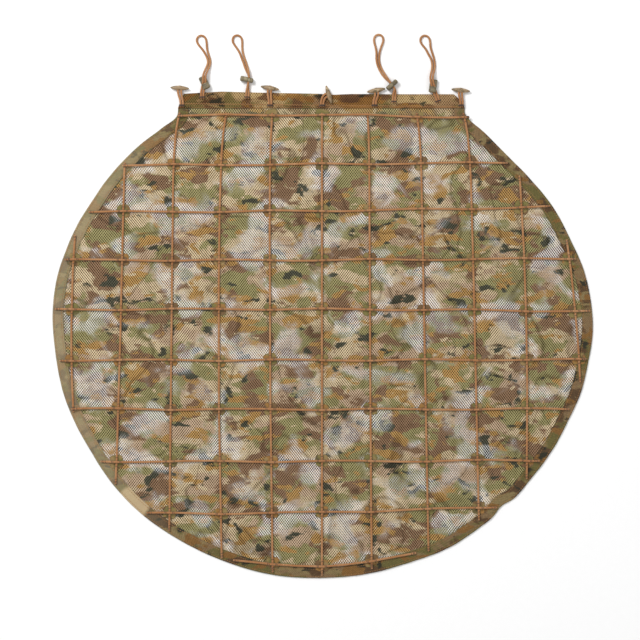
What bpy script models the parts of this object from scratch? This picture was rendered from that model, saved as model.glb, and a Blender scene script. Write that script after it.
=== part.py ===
"""Mesh drape: a round net cloth with a taped rim, a folded heading and a grid of elastic cords.

It lies flat and face up on the XY plane, heading towards +Y, with its underside at z = 0.
All tables are in millimetres, and MM turns them into Blender's metres.
"""

import math

import bmesh
import bpy
from mathutils import Matrix, Vector, geometry

MM = 0.001

# Cloth, tape and clearances
CLOTH = 1.0                         # thickness of the net and of the rim tape
GAP = 0.3                           # clearance between two pieces that touch
FOLD_HEIGHT = 3 * CLOTH + 2 * GAP   # a fold of tape or net with the net's edge inside
NET_LIFT = CLOTH + GAP              # height of the net's underside inside a fold
BAND = 20.0                         # width of the rim tape
HEADING_FOOT = 414.3                # y of the heading's stitched lower edge
NET_INSET = 1.6                     # the net's edge stops this far inside the outline
RAMP = 8.5                          # length over which the net climbs into a fold
OPEN_NET = -RAMP - 3.0              # cover below which the net lies open
OUTLINE_STEP = 4.0
OUTLINE_TOLERANCE = 0.35            # how closely the outline's straight edges follow the curve

# Cord grid
CORD_RADIUS = 2.0
CORD_REST = GAP + CORD_RADIUS       # height of a cord's middle above what it lies on
HUMP = 5.0                          # rise of a cord's middle over the cord that it crosses
HUMP_FOOT = 13.0                    # half length of that rise
CORD_SAMPLE = 4.0
CORD_TOLERANCE = 0.15
PLAN_SHARE = 0.3                    # sideways errors of a cord count less than its height
GATHER = 0.045                      # the heading is drawn in by this share of its width
GATHER_REACH = 45.0                 # and the cords flare out over this length
GATHER_TOP = 406.0
WAVE = 1.5                          # the level cords' slight waves
WAVE_LENGTH = 41.0
WAVE_SHIFT = 1.9

# Creases of the net inside the cells of the grid
CREASE_REACH = 24.0                 # half length of a crease
CREASE_HIGH = 4.4
CREASE_FLAT = 0.3                   # this share of the cells lies flat
CREASE_TAIL = 0.4                   # height of a crease's ends, as a share of its middle
CREASE_CLEAR = 10.0                 # creases keep this far from the climb into the folds
TUCK_REACH = 36.0
FLAT_CELL = (4, 5)                  # row and column of the cell under the rest face

# Toggles, cord locks and free loops
TOGGLE_LENGTH = 34.5
TOGGLE_RADIUS = 4.2
TOGGLE_STEPS = 10
STRAND_SPREAD = 3.05                # half distance between the strands at a toggle
FOOT_SPREAD = 2.2                   # and where they are sewn to the heading
POCKET_DEPTH = 1.7                  # the slot in a toggle reaches this far past its middle
POCKET_HEIGHT = 4.8
LOCK_LENGTH = 24.0
LOCK_WIDTH = 13.8
LOCK_THICKNESS = 9.4
LOCK_SIDES = 16
HOLE_RADIUS = 2.5
LOOP_STEP = 8.5                     # distance between points along a free loop

# Outer edge of the rim, from the heading's left end round the bottom to its right end
RIM = (
    (-268, 414), (-268.5, 405), (-298, 378), (-335, 350), (-368, 319), (-401, 281),
    (-429, 240), (-455, 198), (-475, 153), (-490, 109), (-498, 65), (-500, 20),
    (-496, -28), (-478, -119), (-457, -170), (-428, -222), (-394, -274), (-335, -336),
    (-265, -384), (-185, -422), (-94, -448), (-10, -454), (89, -445), (161, -425),
    (231, -399), (288, -362), (316, -339), (328, -323), (352, -308), (381, -275),
    (422, -221), (455, -160), (477, -111), (490, -58), (499, 5), (495, 60),
    (481, 119), (457, 173), (426, 231), (385, 282), (335, 333), (296, 372),
    (268, 397), (262.5, 405), (262, 414),
)

# Top edge of the heading, from its right end to its left end
HEADING_TOP = (
    (257, 427), (242, 440.5), (140, 440.5), (52, 441), (20, 439.5), (-10, 441.5),
    (-117, 443.5), (-187, 445.5), (-257, 441.5), (-266, 421),
)

# Upright cords: x at the upper end, half way and at the lower end, and y at both ends
UPRIGHT = (
    # upper, middle, lower, top, bottom
    (-458, -465, -461, 180, -147),
    (-368, -374, -383, 314, -280),
    (-277, -280, -284, 406, -366),
    (-187, -193, -187, 406, -417),
    (-98, -98, -93, 406, -443),
    (-2, -2, -2, 406, -449),
    (86, 87, 90, 406, -437),
    (181, 187, 195, 406, -404),
    (271, 280, 288, 406, -347),
    (364, 376, 376, 290, -271),
    (450, 466, 475, 172, -92),
)

# Level cords: y at the left end, half way and at the right end, and x at both ends
LEVEL = (
    # first, middle, last, left, right
    (400, 402, 397, -268.5, 270),
    (309, 311, 314, -370, 341),
    (223, 225, 232, -433, 420),
    (134, 134, 137, -477, 466),
    (42, 43, 39, -495, 493),
    (-51, -51, -50, -487, 486),
    (-141, -142, -141, -464, 455),
    (-238, -238, -236, -411, 400),
    (-334, -332, -322, -326, 321),
    (-421, -430, -408, -166, 172),
)

# Long tucks of the net, across one cell or several of a row
TUCKS = (
    # row, first, last, height, slant in degrees
    (5, 0, 1, 4.4, -3),
    (5, 5, 7, 5.0, 4),
    (8, 2, 3, 4.4, 2),
    (7, 7, 7, 4.8, 6),
    (1, 2, 2, 4.6, -71),
)

# Toggles: centre, turn, and x and y of the foot where the loop is sewn down
TOGGLES = (
    # x, y, z, turn in degrees, foot x, foot y
    (-264.6, 451.4, 5.9, -3.5, -261.0, 417.0),
    (-98.1, 451.4, 5.9, -9.7, -97.7, 417.0),
    (10.5, 439.0, 8.2, -74.0, -1.5, 417.0),
    (98.2, 447.2, 5.9, 10.3, 95.4, 417.0),
    (254.4, 447.2, 5.9, -6.4, 256.0, 417.0),
)

# Adjuster loops from the heading outwards. The two strands lie side by side at roll 0,
# and one above the other at roll 90.
ADJUSTERS = (
    (
        # x, y, z, roll in degrees, half spread
        (-222.7, 432.0, 6.0, 0, 2.2),
        (-223.0, 442.0, 6.0, 0, 2.2),
        (-221.6, 451.0, 5.8, 0, 2.2),
        (-220.0, 457.0, 7.6, 0, 2.2),
        (-219.0, 462.0, 10.2, 0, 2.2),
        (-218.8, 467.0, 11.9, 0, 2.2),
        (-218.6, 474.0, 12.2, 0, 2.2),
        (-216.0, 482.5, 8.4, 0, 2.2),
        (-212.6, 491.0, 4.0, 0, 2.2),
        (-210.3, 500.0, 2.4, 0, 2.2),
        (-212.4, 509.0, 2.3, 0, 2.3),
        (-216.0, 518.0, 2.3, 0, 3.0),
    ),
    (
        (-139.9, 432.0, 6.1, 0, 2.2),
        (-139.6, 440.0, 6.4, 5, 2.2),
        (-139.2, 446.0, 7.3, 32, 2.2),
        (-138.8, 451.5, 6.8, 62, 2.2),
        (-138.3, 458.0, 6.4, 85, 2.2),
        (-137.6, 466.5, 6.4, 90, 2.2),
        (-137.0, 474.0, 6.4, 95, 2.2),
        (-139.0, 482.0, 5.4, 130, 2.2),
        (-141.8, 490.0, 3.4, 165, 2.2),
        (-145.0, 500.0, 2.4, 180, 2.3),
        (-148.4, 509.0, 2.3, 180, 2.5),
        (-151.3, 518.0, 2.3, 180, 3.0),
    ),
    (
        (130.6, 424.0, 6.1, 0, 2.2),
        (131.2, 433.0, 6.3, 4, 2.2),
        (131.9, 441.0, 7.3, 28, 2.2),
        (132.7, 446.0, 6.8, 58, 2.2),
        (132.0, 450.8, 6.4, 85, 2.2),
        (128.9, 455.8, 6.4, 90, 2.2),
        (123.4, 462.4, 6.4, 95, 2.2),
        (117.2, 469.6, 5.6, 125, 2.2),
        (112.0, 476.8, 3.6, 160, 2.2),
        (107.0, 485.4, 2.4, 180, 2.2),
        (103.0, 495.0, 2.3, 180, 2.2),
        (101.2, 506.0, 2.3, 180, 2.4),
        (101.8, 518.0, 2.3, 180, 3.0),
    ),
    (
        (213.5, 425.0, 6.0, 0, 2.2),
        (210.6, 434.0, 6.0, 0, 2.2),
        (207.0, 442.5, 5.8, 0, 2.2),
        (205.0, 448.5, 7.4, 0, 2.2),
        (203.2, 454.5, 10.3, 0, 2.2),
        (201.4, 459.8, 11.9, 0, 2.2),
        (200.2, 467.0, 12.2, 0, 2.2),
        (201.0, 475.5, 8.4, 0, 2.2),
        (203.2, 484.0, 4.0, 0, 2.3),
        (204.4, 493.0, 2.4, 0, 2.4),
        (203.0, 504.0, 2.3, 0, 2.6),
        (197.4, 518.0, 2.3, 0, 4.0),
    ),
)

# Round end of an adjuster loop, past its last row: distance onwards and half spread
LOOP_END = ((9.0, 5.0), (17.0, 7.6), (24.0, 8.6), (30.0, 6.1))
LOOP_TIP = 32.6

# Cord locks: centre, direction from the plunger to the body, and whether it stands on edge
LOCKS = (
    # x, y, axis in degrees, on edge
    (-218.9, 461.6, 115.0, False),
    (-140.6, 467.0, 168.3, True),
    (127.6, 457.0, 222.8, True),
    (203.3, 455.5, 82.0, False),
)

# Sections of a lock along its axis, plunger end first: share of the length, scale
LOCK_PROFILE = (
    (0.00, 0.66), (0.05, 0.88), (0.33, 0.92), (0.37, 0.80), (0.41, 0.80),
    (0.45, 1.00), (0.93, 1.00), (1.00, 0.80),
)

# Profile of a toggle from the middle to a tip: share of the half length, share of the radius
TOGGLE_PROFILE = ((0.0, 1.0), (0.25, 0.93), (0.5, 0.73), (0.75, 0.48), (0.95, 0.27), (1.0, 0.0))

# Linear colour, roughness and metallic value of each finish
FINISHES = {
    "net": ((0.20, 0.19, 0.10), 0.90, 0.0),
    "tape": ((0.16, 0.14, 0.07), 0.88, 0.0),
    "cord": ((0.50, 0.24, 0.10), 0.85, 0.0),
    "toggle": ((0.20, 0.17, 0.10), 0.60, 0.0),
    "lock": ((0.16, 0.14, 0.09), 0.55, 0.0),
}


# Scene helpers

def clear_scene():
    """Remove every object that the file starts with."""
    for obj in list(bpy.data.objects):
        bpy.data.objects.remove(obj, do_unlink=True)


def make_collection(name):
    """Add a collection to the scene."""
    made = bpy.data.collections.new(name)
    bpy.context.scene.collection.children.link(made)
    return made


def make_material(name):
    """Make the Principled material for one finish."""
    colour, roughness, metallic = FINISHES[name]
    material = bpy.data.materials.new(name)
    material.use_nodes = True
    shader = material.node_tree.nodes["Principled BSDF"]
    shader.inputs["Base Color"].default_value = (*colour, 1.0)
    shader.inputs["Roughness"].default_value = roughness
    shader.inputs["Metallic"].default_value = metallic
    return material


class Builder:
    """The collections, the materials and the empty that carries every piece."""

    def __init__(self):
        self.pieces = make_collection("mesh_drape")
        self.cutters = make_collection("cutters")
        self.materials = {name: make_material(name) for name in FINISHES}
        self.carrier = bpy.data.objects.new("drape_origin", None)
        self.pieces.objects.link(self.carrier)

    def piece(self, name, data, finish):
        """Add a piece of the drape."""
        obj = bpy.data.objects.new(name, data)
        self.pieces.objects.link(obj)
        obj.parent = self.carrier
        obj.data.materials.append(self.materials[finish])
        return obj

    def cutter(self, name, data):
        """Add a shape that is taken away from a piece."""
        obj = bpy.data.objects.new(name, data)
        self.cutters.objects.link(obj)
        obj.parent = self.carrier
        obj.hide_render = True
        obj.display_type = "WIRE"
        return obj


def cut(target, cutter):
    """Take a cutter away from a mesh object."""
    step = target.modifiers.new("cut_" + cutter.name, "BOOLEAN")
    step.operation = "DIFFERENCE"
    step.solver = "EXACT"
    step.object = cutter


def closed_mesh(curve, name):
    """The closed, welded mesh of a curve with a bevel or a fill."""
    holder = bpy.data.objects.new(name, curve)
    bpy.context.scene.collection.objects.link(holder)
    graph = bpy.context.evaluated_depsgraph_get()
    mesh = bpy.data.meshes.new_from_object(holder.evaluated_get(graph))
    bpy.data.objects.remove(holder, do_unlink=True)
    bpy.data.curves.remove(curve)
    work = bmesh.new()
    work.from_mesh(mesh)
    bmesh.ops.remove_doubles(work, verts=work.verts, dist=0.000001)
    bmesh.ops.recalc_face_normals(work, faces=work.faces)
    work.to_mesh(mesh)
    work.free()
    mesh.name = name
    return mesh


# Lines, in millimetres

def even(line, step):
    """Points at even distances of about one step along a line."""
    total = sum((b - a).length for a, b in zip(line, line[1:]))
    pieces = max(1, round(total / step))
    wanted = total / pieces
    made = [line[0]]
    run = 0.0
    for a, b in zip(line, line[1:]):
        length = (b - a).length
        while len(made) < pieces and run + length >= wanted * len(made):
            made.append(a.lerp(b, (wanted * len(made) - run) / length))
        run += length
    made.append(line[-1])
    return made


def smooth(points, step):
    """Points at even steps on the smooth curve through the given ones."""
    spans = [(b - a).length for a, b in zip(points, points[1:])]
    slopes = [(b - a) / span for a, b, span in zip(points, points[1:], spans)]
    tangents = [slopes[0]]
    for before, after, slope, onward in zip(spans, spans[1:], slopes, slopes[1:]):
        share = after / (before + after)
        tangents.append(slope * share + onward * (1 - share))
    tangents.append(slopes[-1])
    fine = [points[0]]
    for i, span in enumerate(spans):
        lead = points[i] + tangents[i] * (span / 3)
        trail = points[i + 1] - tangents[i + 1] * (span / 3)
        for k in range(1, 17):
            t = k / 16
            u = 1 - t
            fine.append(points[i] * u ** 3 + lead * (3 * u * u * t)
                        + trail * (3 * u * t * t) + points[i + 1] * t ** 3)
    return even(fine, step)


def thin(line, tolerance, plan_share=1.0):
    """The points of a line that keep it within a tolerance of its full run."""
    if len(line) < 3:
        return list(line)
    weight = Vector((plan_share, plan_share, 1.0))
    first = line[0].to_3d() * weight
    along = line[-1].to_3d() * weight - first
    worst = 0.0
    split = 0
    for i in range(1, len(line) - 1):
        reach = line[i].to_3d() * weight - first
        share = min(1.0, max(0.0, reach.dot(along) / max(along.length_squared, 1e-9)))
        error = (reach - along * share).length
        if error > worst:
            worst = error
            split = i
    if worst <= tolerance:
        return [line[0], line[-1]]
    head = thin(line[:split + 1], tolerance, plan_share)
    return head[:-1] + thin(line[split:], tolerance, plan_share)


def moved_left(line, distance, closed):
    """A line moved to its left by a distance, mitred at its corners."""
    made = []
    last = len(line) - 1
    for i, point in enumerate(line):
        sides = []
        if closed or i > 0:
            sides.append((point - line[i - 1]).normalized())
        if closed or i < last:
            sides.append((line[(i + 1) % len(line)] - point).normalized())
        normals = [Vector((-side.y, side.x)) for side in sides]
        normal = sum(normals, Vector((0.0, 0.0))).normalized()
        made.append(point + normal * (distance / max(0.5, normal.dot(normals[0]))))
    return made


def distance_to(line, point):
    """Shortest distance from a point to an open line."""
    best = math.inf
    for a, b in zip(line, line[1:]):
        along = b - a
        share = min(1.0, max(0.0, (point - a).dot(along) / along.length_squared))
        best = min(best, (point - a - along * share).length)
    return best


def ease(value):
    """A smooth step from 0 to 1."""
    value = min(1.0, max(0.0, value))
    return value * value * (3 - 2 * value)


def three_stations(first, middle, last, share):
    """The smooth value through three stations at shares 0, a half and 1."""
    rest = 1 - share
    return (first * rest * (rest - share) + middle * 4 * share * rest
            + last * share * (share - rest))


RIM_LINE = thin(smooth([Vector(point) for point in RIM], OUTLINE_STEP), OUTLINE_TOLERANCE)
TOP_LINE = [Vector(point) for point in HEADING_TOP]
OUTLINE = RIM_LINE + TOP_LINE


def cover(point):
    """How far a point lies under a fold; below 0 it is out on the open net."""
    return max(BAND - distance_to(RIM_LINE, point), point.y - HEADING_FOOT)


def lying_height(point):
    """Height of the surface that a cord lies on."""
    share = ease((cover(point) + RAMP + 2.5) / RAMP)
    return CLOTH + (FOLD_HEIGHT - CLOTH) * share


# The cord grid

def upright_x(column, y):
    """Where an upright cord runs: the cords draw together near the heading."""
    upper, middle, lower, top, bottom = UPRIGHT[column]
    x = three_stations(upper, middle, lower, (top - y) / (top - bottom))
    return x * (1 - GATHER * math.exp((y - GATHER_TOP) / GATHER_REACH))


def level_y(row, x):
    """Where a level cord runs."""
    first, middle, last, left, right = LEVEL[row]
    y = three_stations(first, middle, last, (x - left) / (right - left))
    return y + WAVE * math.sin(x / WAVE_LENGTH + row * WAVE_SHIFT)


def meeting(row, column):
    """The point where a level and an upright cord would cross."""
    x = UPRIGHT[column][1]
    for _ in range(8):
        y = level_y(row, x)
        x = upright_x(column, y)
    return Vector((x, y))


def crosses(row, column):
    """Whether both cords reach their meeting point."""
    point = meeting(row, column)
    on_upright = UPRIGHT[column][4] < point.y < UPRIGHT[column][3]
    return on_upright and LEVEL[row][3] < point.x < LEVEL[row][4]


CROSSINGS = {(row, column): meeting(row, column)
             for row in range(len(LEVEL)) for column in range(len(UPRIGHT))
             if crosses(row, column)}


def stations(low, high, step, marks=()):
    """Even stations between two values, with the marks among them."""
    count = math.ceil((high - low) / step)
    plain = [low + (high - low) * i / count for i in range(count + 1)]
    return sorted(set(plain + [mark for mark in marks if low < mark < high]))


def upright_route(column):
    """Middle line of an upright cord, from its lower end to its upper end."""
    marks = [point.y for (_, at), point in CROSSINGS.items() if at == column]
    line = []
    for y in stations(UPRIGHT[column][4], UPRIGHT[column][3], CORD_SAMPLE, marks):
        point = Vector((upright_x(column, y), y))
        line.append(Vector((point.x, point.y, lying_height(point) + CORD_REST)))
    return thin(line, CORD_TOLERANCE, PLAN_SHARE)


def level_route(row):
    """Middle line of a level cord, which climbs over each upright cord."""
    over = [point for (at, _), point in CROSSINGS.items() if at == row]
    marks = [point.x + side * HUMP_FOOT for point in over for side in (-1, 0, 1)]
    line = []
    for x in stations(LEVEL[row][3], LEVEL[row][4], CORD_SAMPLE, marks):
        point = Vector((x, level_y(row, x)))
        rest = lying_height(point) + CORD_REST
        rises = [(lying_height(at) + CORD_REST + HUMP - rest) * (1 - abs(x - at.x) / HUMP_FOOT)
                 for at in over if abs(x - at.x) < HUMP_FOOT]
        line.append(Vector((point.x, point.y, rest + max(rises, default=0.0))))
    return thin(line, CORD_TOLERANCE, PLAN_SHARE)


def tube(name, line, radius, resolution):
    """The closed mesh of a round tube along a line."""
    curve = bpy.data.curves.new(name, "CURVE")
    curve.dimensions = "3D"
    curve.bevel_depth = radius * MM
    curve.bevel_resolution = resolution
    curve.use_fill_caps = True
    spline = curve.splines.new("POLY")
    spline.points.add(len(line) - 1)
    for point, place in zip(spline.points, line):
        point.co = (*(place * MM), 1.0)
    spline.use_smooth = True
    return closed_mesh(curve, name)


def build_cord_grid(builder):
    """The upright cords, and the level cords that lie over them."""
    for column in range(len(UPRIGHT)):
        name = f"upright_cord_{column:02d}"
        builder.piece(name, tube(name, upright_route(column), CORD_RADIUS, 1), "cord")
    for row in range(len(LEVEL)):
        name = f"level_cord_{row:02d}"
        builder.piece(name, tube(name, level_route(row), CORD_RADIUS, 1), "cord")


# Net, rim tape and heading

def prism(name, outline, low, high):
    """A flat outline with a thickness, as a closed mesh."""
    curve = bpy.data.curves.new(name, "CURVE")
    curve.dimensions = "2D"
    curve.fill_mode = "BOTH"
    curve.extrude = (high - low) / 2 * MM
    spline = curve.splines.new("POLY")
    spline.points.add(len(outline) - 1)
    for point, place in zip(spline.points, outline):
        point.co = (place.x * MM, place.y * MM, 0.0, 1.0)
    spline.use_cyclic_u = True
    mesh = closed_mesh(curve, name)
    mesh.transform(Matrix.Translation((0.0, 0.0, (low + high) / 2 * MM)))
    return mesh


def build_folds(builder):
    """The tape round the rim and the heading, each folded over the net's edge."""
    inner = moved_left(RIM_LINE, BAND, closed=False)
    tape = prism("rim_tape", RIM_LINE + inner[::-1], 0.0, FOLD_HEIGHT)
    left = Vector((RIM[0][0], HEADING_FOOT))
    right = Vector((RIM[-1][0], HEADING_FOOT))
    heading = prism("heading_fold", [left, right] + TOP_LINE, 0.0, FOLD_HEIGHT)
    slot_outline = moved_left(OUTLINE, CLOTH, closed=True)
    slot_mesh = prism("fold_slot", slot_outline, CLOTH, FOLD_HEIGHT - CLOTH)
    slot = builder.cutter("fold_slot", slot_mesh)
    cut(builder.piece("rim_tape", tape, "tape"), slot)
    cut(builder.piece("heading_fold", heading, "net"), slot)


def ring_inside(distance):
    """The closed line at a distance inside the folds' inner edges."""
    top = HEADING_FOOT - distance
    side = [point for point in moved_left(RIM_LINE, BAND + distance, closed=False)
            if point.y < top - 2.0]
    left = RIM[0][0] + BAND + distance
    right = RIM[-1][0] - BAND - distance
    head = [Vector((right - (right - left) * i / 8, top)) for i in range(9)]
    return side + head


def crease_height(row, column):
    """Height of a cell's crease, from flat to high, as uneven as loose net."""
    share = 0.5 + 0.5 * math.sin(12.99 * column + 78.23 * row)
    if (row, column) == FLAT_CELL or share < CREASE_FLAT:
        return 0.0
    return CREASE_HIGH * share


def cell_crease(row, column):
    """Middle, direction, half length and height of the crease in a cell."""
    middle = (meeting(row, column) + meeting(row + 1, column + 1)) / 2
    angle = 45.0 * (-1) ** (row + column) + 20.0 * math.sin(3.1 * column + 1.7 * row)
    reach = CREASE_REACH
    height = crease_height(row, column)
    for tuck_row, first, last, tuck_height, slant in TUCKS:
        if row == tuck_row and first <= column <= last:
            angle = slant
            reach = TUCK_REACH
            height = tuck_height
    along = Vector((math.cos(math.radians(angle)), math.sin(math.radians(angle))))
    return middle, along, reach, height


def valley(cord_at, low, high, marks):
    """Points under a cord on the open net, where the net lies flat on the floor."""
    lying = [value for value in stations(low, high, CORD_SAMPLE)
             if cover(cord_at(value)) < OPEN_NET]
    if not lying:
        return []
    kept = [mark for mark in marks if lying[0] + 6.0 < mark < lying[-1] - 6.0]
    ends = [lying[0]] + sorted(kept) + [lying[-1]]
    values = set(ends)
    for start, end in zip(ends, ends[1:]):
        if end - start > 30.0:
            values.add((start + end) / 2)
    return [cord_at(value) for value in sorted(values)]


def upright_at(column):
    """The function that gives an upright cord's point at a height y."""
    return lambda y: Vector((upright_x(column, y), y))


def level_at(row):
    """The function that gives a level cord's point at a place x."""
    return lambda x: Vector((x, level_y(row, x)))


class Sheet:
    """Points, heights and fixed edges of the net, before it is made into triangles."""

    def __init__(self):
        self.points = []
        self.heights = []
        self.edges = []

    def line(self, points, heights, closed=False):
        """Add a line whose edges the triangles keep."""
        start = len(self.points)
        self.points.extend(points)
        self.heights.extend(heights)
        self.edges.extend((start + i, start + i + 1) for i in range(len(points) - 1))
        if closed:
            self.edges.append((start + len(points) - 1, start))

    def mesh(self, name, edge_count):
        """The triangles inside the first line, which has edge_count points."""
        rim = list(range(edge_count))
        flat = geometry.delaunay_2d_cdt(self.points, self.edges, [rim], 0, 0.01, True)
        places, sources = flat[0], flat[3]
        faces = [face for face, inside in zip(flat[2], flat[5]) if inside]
        verts = [(place.x * MM, place.y * MM, (self.heights[source[0]] if source else 0.0) * MM)
                 for place, source in zip(places, sources)]
        mesh = bpy.data.meshes.new(name)
        mesh.from_pydata(verts, [], faces)
        return mesh


def net_sheet():
    """The net: flat under every cord, creased inside the cells, lifted into the folds."""
    sheet = Sheet()
    edge = moved_left(OUTLINE, NET_INSET, closed=True)
    sheet.line(edge, [NET_LIFT] * len(edge), closed=True)
    for distance, height in ((0.5, NET_LIFT), (RAMP, 0.0)):
        ring = ring_inside(distance)
        sheet.line(ring, [height] * len(ring), closed=True)
    for column, (_, _, _, top, bottom) in enumerate(UPRIGHT):
        marks = [point.y for (_, at), point in CROSSINGS.items() if at == column]
        line = valley(upright_at(column), bottom, top, marks)
        sheet.line(line, [0.0] * len(line))
    for row, (_, _, _, left, right) in enumerate(LEVEL):
        marks = [point.x for (at, _), point in CROSSINGS.items() if at == row]
        line = valley(level_at(row), left, right, marks)
        sheet.line(line, [0.0] * len(line))
    for row in range(len(LEVEL) - 1):
        for column in range(len(UPRIGHT) - 1):
            middle, along, reach, height = cell_crease(row, column)
            ridge = [middle - along * reach, middle, middle + along * reach]
            if height and all(cover(point) < OPEN_NET - CREASE_CLEAR for point in ridge):
                sheet.line(ridge, [height * CREASE_TAIL, height, height * CREASE_TAIL])
    return sheet.mesh("net_panel", len(edge))


def build_net(builder):
    """The net panel, with its thickness added above its underside."""
    panel = builder.piece("net_panel", net_sheet(), "net")
    thick = panel.modifiers.new("thickness", "SOLIDIFY")
    thick.thickness = CLOTH * MM
    thick.offset = 1.0
    thick.use_even_offset = True


# Toggles and their loops

def spindle(name):
    """The profile of a toggle, top to bottom, ready to be turned about Z."""
    half = TOGGLE_LENGTH / 2
    upper = [(radius * TOGGLE_RADIUS, share * half) for share, radius in TOGGLE_PROFILE]
    lower = [(radius, -place) for radius, place in upper[1:]]
    profile = upper[::-1] + lower
    mesh = bpy.data.meshes.new(name)
    verts = [(radius * MM, 0.0, place * MM) for radius, place in profile]
    mesh.from_pydata(verts, [(i, i + 1) for i in range(len(verts) - 1)], [])
    return mesh


def pocket_mesh(name):
    """The slot in a toggle's side that its loop runs into."""
    width = 2 * (STRAND_SPREAD + CORD_RADIUS + GAP)
    depth = TOGGLE_RADIUS * 2 + POCKET_DEPTH
    work = bmesh.new()
    bmesh.ops.create_cube(work, size=1.0)
    bmesh.ops.scale(work, vec=Vector((width, depth, POCKET_HEIGHT)) * MM, verts=work.verts)
    bmesh.ops.translate(work, vec=Vector((0.0, POCKET_DEPTH - depth / 2, 0.0)) * MM,
                        verts=work.verts)
    mesh = bpy.data.meshes.new(name)
    work.to_mesh(mesh)
    work.free()
    return mesh


def build_toggles(builder):
    """The spindle toggles, each with a slot that its loop runs into."""
    for index, (x, y, z, turn, _, _) in enumerate(TOGGLES):
        place = Matrix.Translation(Vector((x, y, z)) * MM)
        place = place @ Matrix.Rotation(math.radians(turn), 4, "Z")
        toggle = builder.piece(f"toggle_{index:02d}", spindle("toggle"), "toggle")
        toggle.matrix_basis = place @ Matrix.Rotation(math.radians(90.0), 4, "Y")
        turned = toggle.modifiers.new("turned", "SCREW")
        turned.axis = "Z"
        turned.steps = TOGGLE_STEPS
        turned.render_steps = TOGGLE_STEPS
        turned.use_merge_vertices = True
        turned.merge_threshold = 0.00001
        name = f"toggle_slot_{index:02d}"
        cutter = builder.cutter(name, pocket_mesh(name))
        cutter.matrix_basis = place
        cut(toggle, cutter)


def toggle_route(x, y, z, turn, foot_x, foot_y):
    """Middle line of a toggle's loop, from one sewn end to the other."""
    place = Matrix.Translation((x, y, z)) @ Matrix.Rotation(math.radians(turn), 4, "Z")
    bend = POCKET_DEPTH - GAP - CORD_RADIUS - STRAND_SPREAD
    rest = FOLD_HEIGHT + CORD_REST
    bight = [place @ Vector((-STRAND_SPREAD * math.cos(angle),
                             bend + STRAND_SPREAD * math.sin(angle), 0.0))
             for angle in (math.pi * i / 4 for i in range(5))]
    strands = []
    for side in (-1, 1):
        foot = Vector((foot_x + side * FOOT_SPREAD, foot_y, rest))
        onward = foot + Vector((0.0, 8.0, 0.0))
        near = place @ Vector((side * STRAND_SPREAD, bend - 1.2, 0.0))
        strands.append([foot, onward, near])
    lead = smooth(strands[0] + bight[:1], LOOP_STEP)
    tail = smooth(strands[1] + bight[-1:], LOOP_STEP)
    return lead + bight[1:-1] + tail[::-1]


def build_toggle_loops(builder):
    """The short loops that hold the toggles to the heading."""
    for index, row in enumerate(TOGGLES):
        name = f"toggle_loop_{index:02d}"
        builder.piece(name, tube(name, toggle_route(*row), CORD_RADIUS, 1), "cord")


# Adjuster loops and cord locks

def adjuster_route(rows):
    """Middle line of an adjuster loop: out along one strand and back along the other."""
    centres = [Vector(row[:2]) for row in rows]
    last = len(rows) - 1
    out = []
    back = []
    for i, (x, y, z, roll, spread) in enumerate(rows):
        along = (centres[min(i + 1, last)] - centres[max(i - 1, 0)]).normalized()
        flat = math.cos(math.radians(roll))
        reach = Vector((-along.y * flat, along.x * flat, math.sin(math.radians(roll))))
        out.append(Vector((x, y, z)) + reach * spread)
        back.append(Vector((x, y, z)) - reach * spread)
    onward = (centres[-1] - centres[-2]).normalized().to_3d()
    side = Vector((-onward.y, onward.x, 0.0)) * math.cos(math.radians(rows[-1][3]))
    end = Vector(rows[-1][:3])
    out += [end + onward * reach + side * spread for reach, spread in LOOP_END]
    back += [end + onward * reach - side * spread for reach, spread in LOOP_END]
    return out + [end + onward * LOOP_TIP] + back[::-1]


def build_adjusters(builder):
    """The four adjuster loops, each through its cord lock."""
    for index, (rows, (x, y, axis, on_edge)) in enumerate(zip(ADJUSTERS, LOCKS)):
        line = smooth(adjuster_route(rows), LOOP_STEP)
        name = f"adjuster_cord_{index:02d}"
        builder.piece(name, tube(name, line, CORD_RADIUS, 2), "cord")
        lock = builder.piece(f"cord_lock_{index:02d}", lock_mesh(on_edge), "lock")
        height = (LOCK_WIDTH if on_edge else LOCK_THICKNESS) / 2
        place = Matrix.Translation(Vector((x, y, height)) * MM)
        lock.matrix_basis = place @ Matrix.Rotation(math.radians(axis), 4, "Z")
        half = len(line) // 2
        middle = [(out + back) / 2 for out, back in zip(line[:half], line[::-1])]
        for strand, points in (("out", line[:half]), ("back", line[half:]), ("middle", middle)):
            near = [point for point in points if (point.xy - Vector((x, y))).length < 30.0]
            hole_name = f"lock_hole_{index:02d}_{strand}"
            hole = tube(hole_name, near, HOLE_RADIUS, 2)
            cut(lock, builder.cutter(hole_name, hole))


def lock_mesh(on_edge):
    """A flattened barrel with a neck between its plunger and its body, along X."""
    wide, high = (LOCK_THICKNESS, LOCK_WIDTH) if on_edge else (LOCK_WIDTH, LOCK_THICKNESS)
    work = bmesh.new()
    rings = []
    for share, scale in LOCK_PROFILE:
        ring = []
        for k in range(LOCK_SIDES):
            angle = 2 * math.pi * (k + 0.5) / LOCK_SIDES
            y = math.copysign(abs(math.cos(angle)) ** 0.6, math.cos(angle)) * wide / 2
            z = math.copysign(abs(math.sin(angle)) ** 0.6, math.sin(angle)) * high / 2
            x = (share - 0.5) * LOCK_LENGTH
            ring.append(work.verts.new(Vector((x, y * scale, z * scale)) * MM))
        rings.append(ring)
    for near, far in zip(rings, rings[1:]):
        for k in range(LOCK_SIDES):
            onward = (k + 1) % LOCK_SIDES
            work.faces.new((near[k], near[onward], far[onward], far[k]))
    work.faces.new(rings[0][::-1])
    work.faces.new(rings[-1])
    bmesh.ops.recalc_face_normals(work, faces=work.faces)
    mesh = bpy.data.meshes.new("cord_lock")
    work.to_mesh(mesh)
    work.free()
    return mesh


# The whole drape

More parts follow.
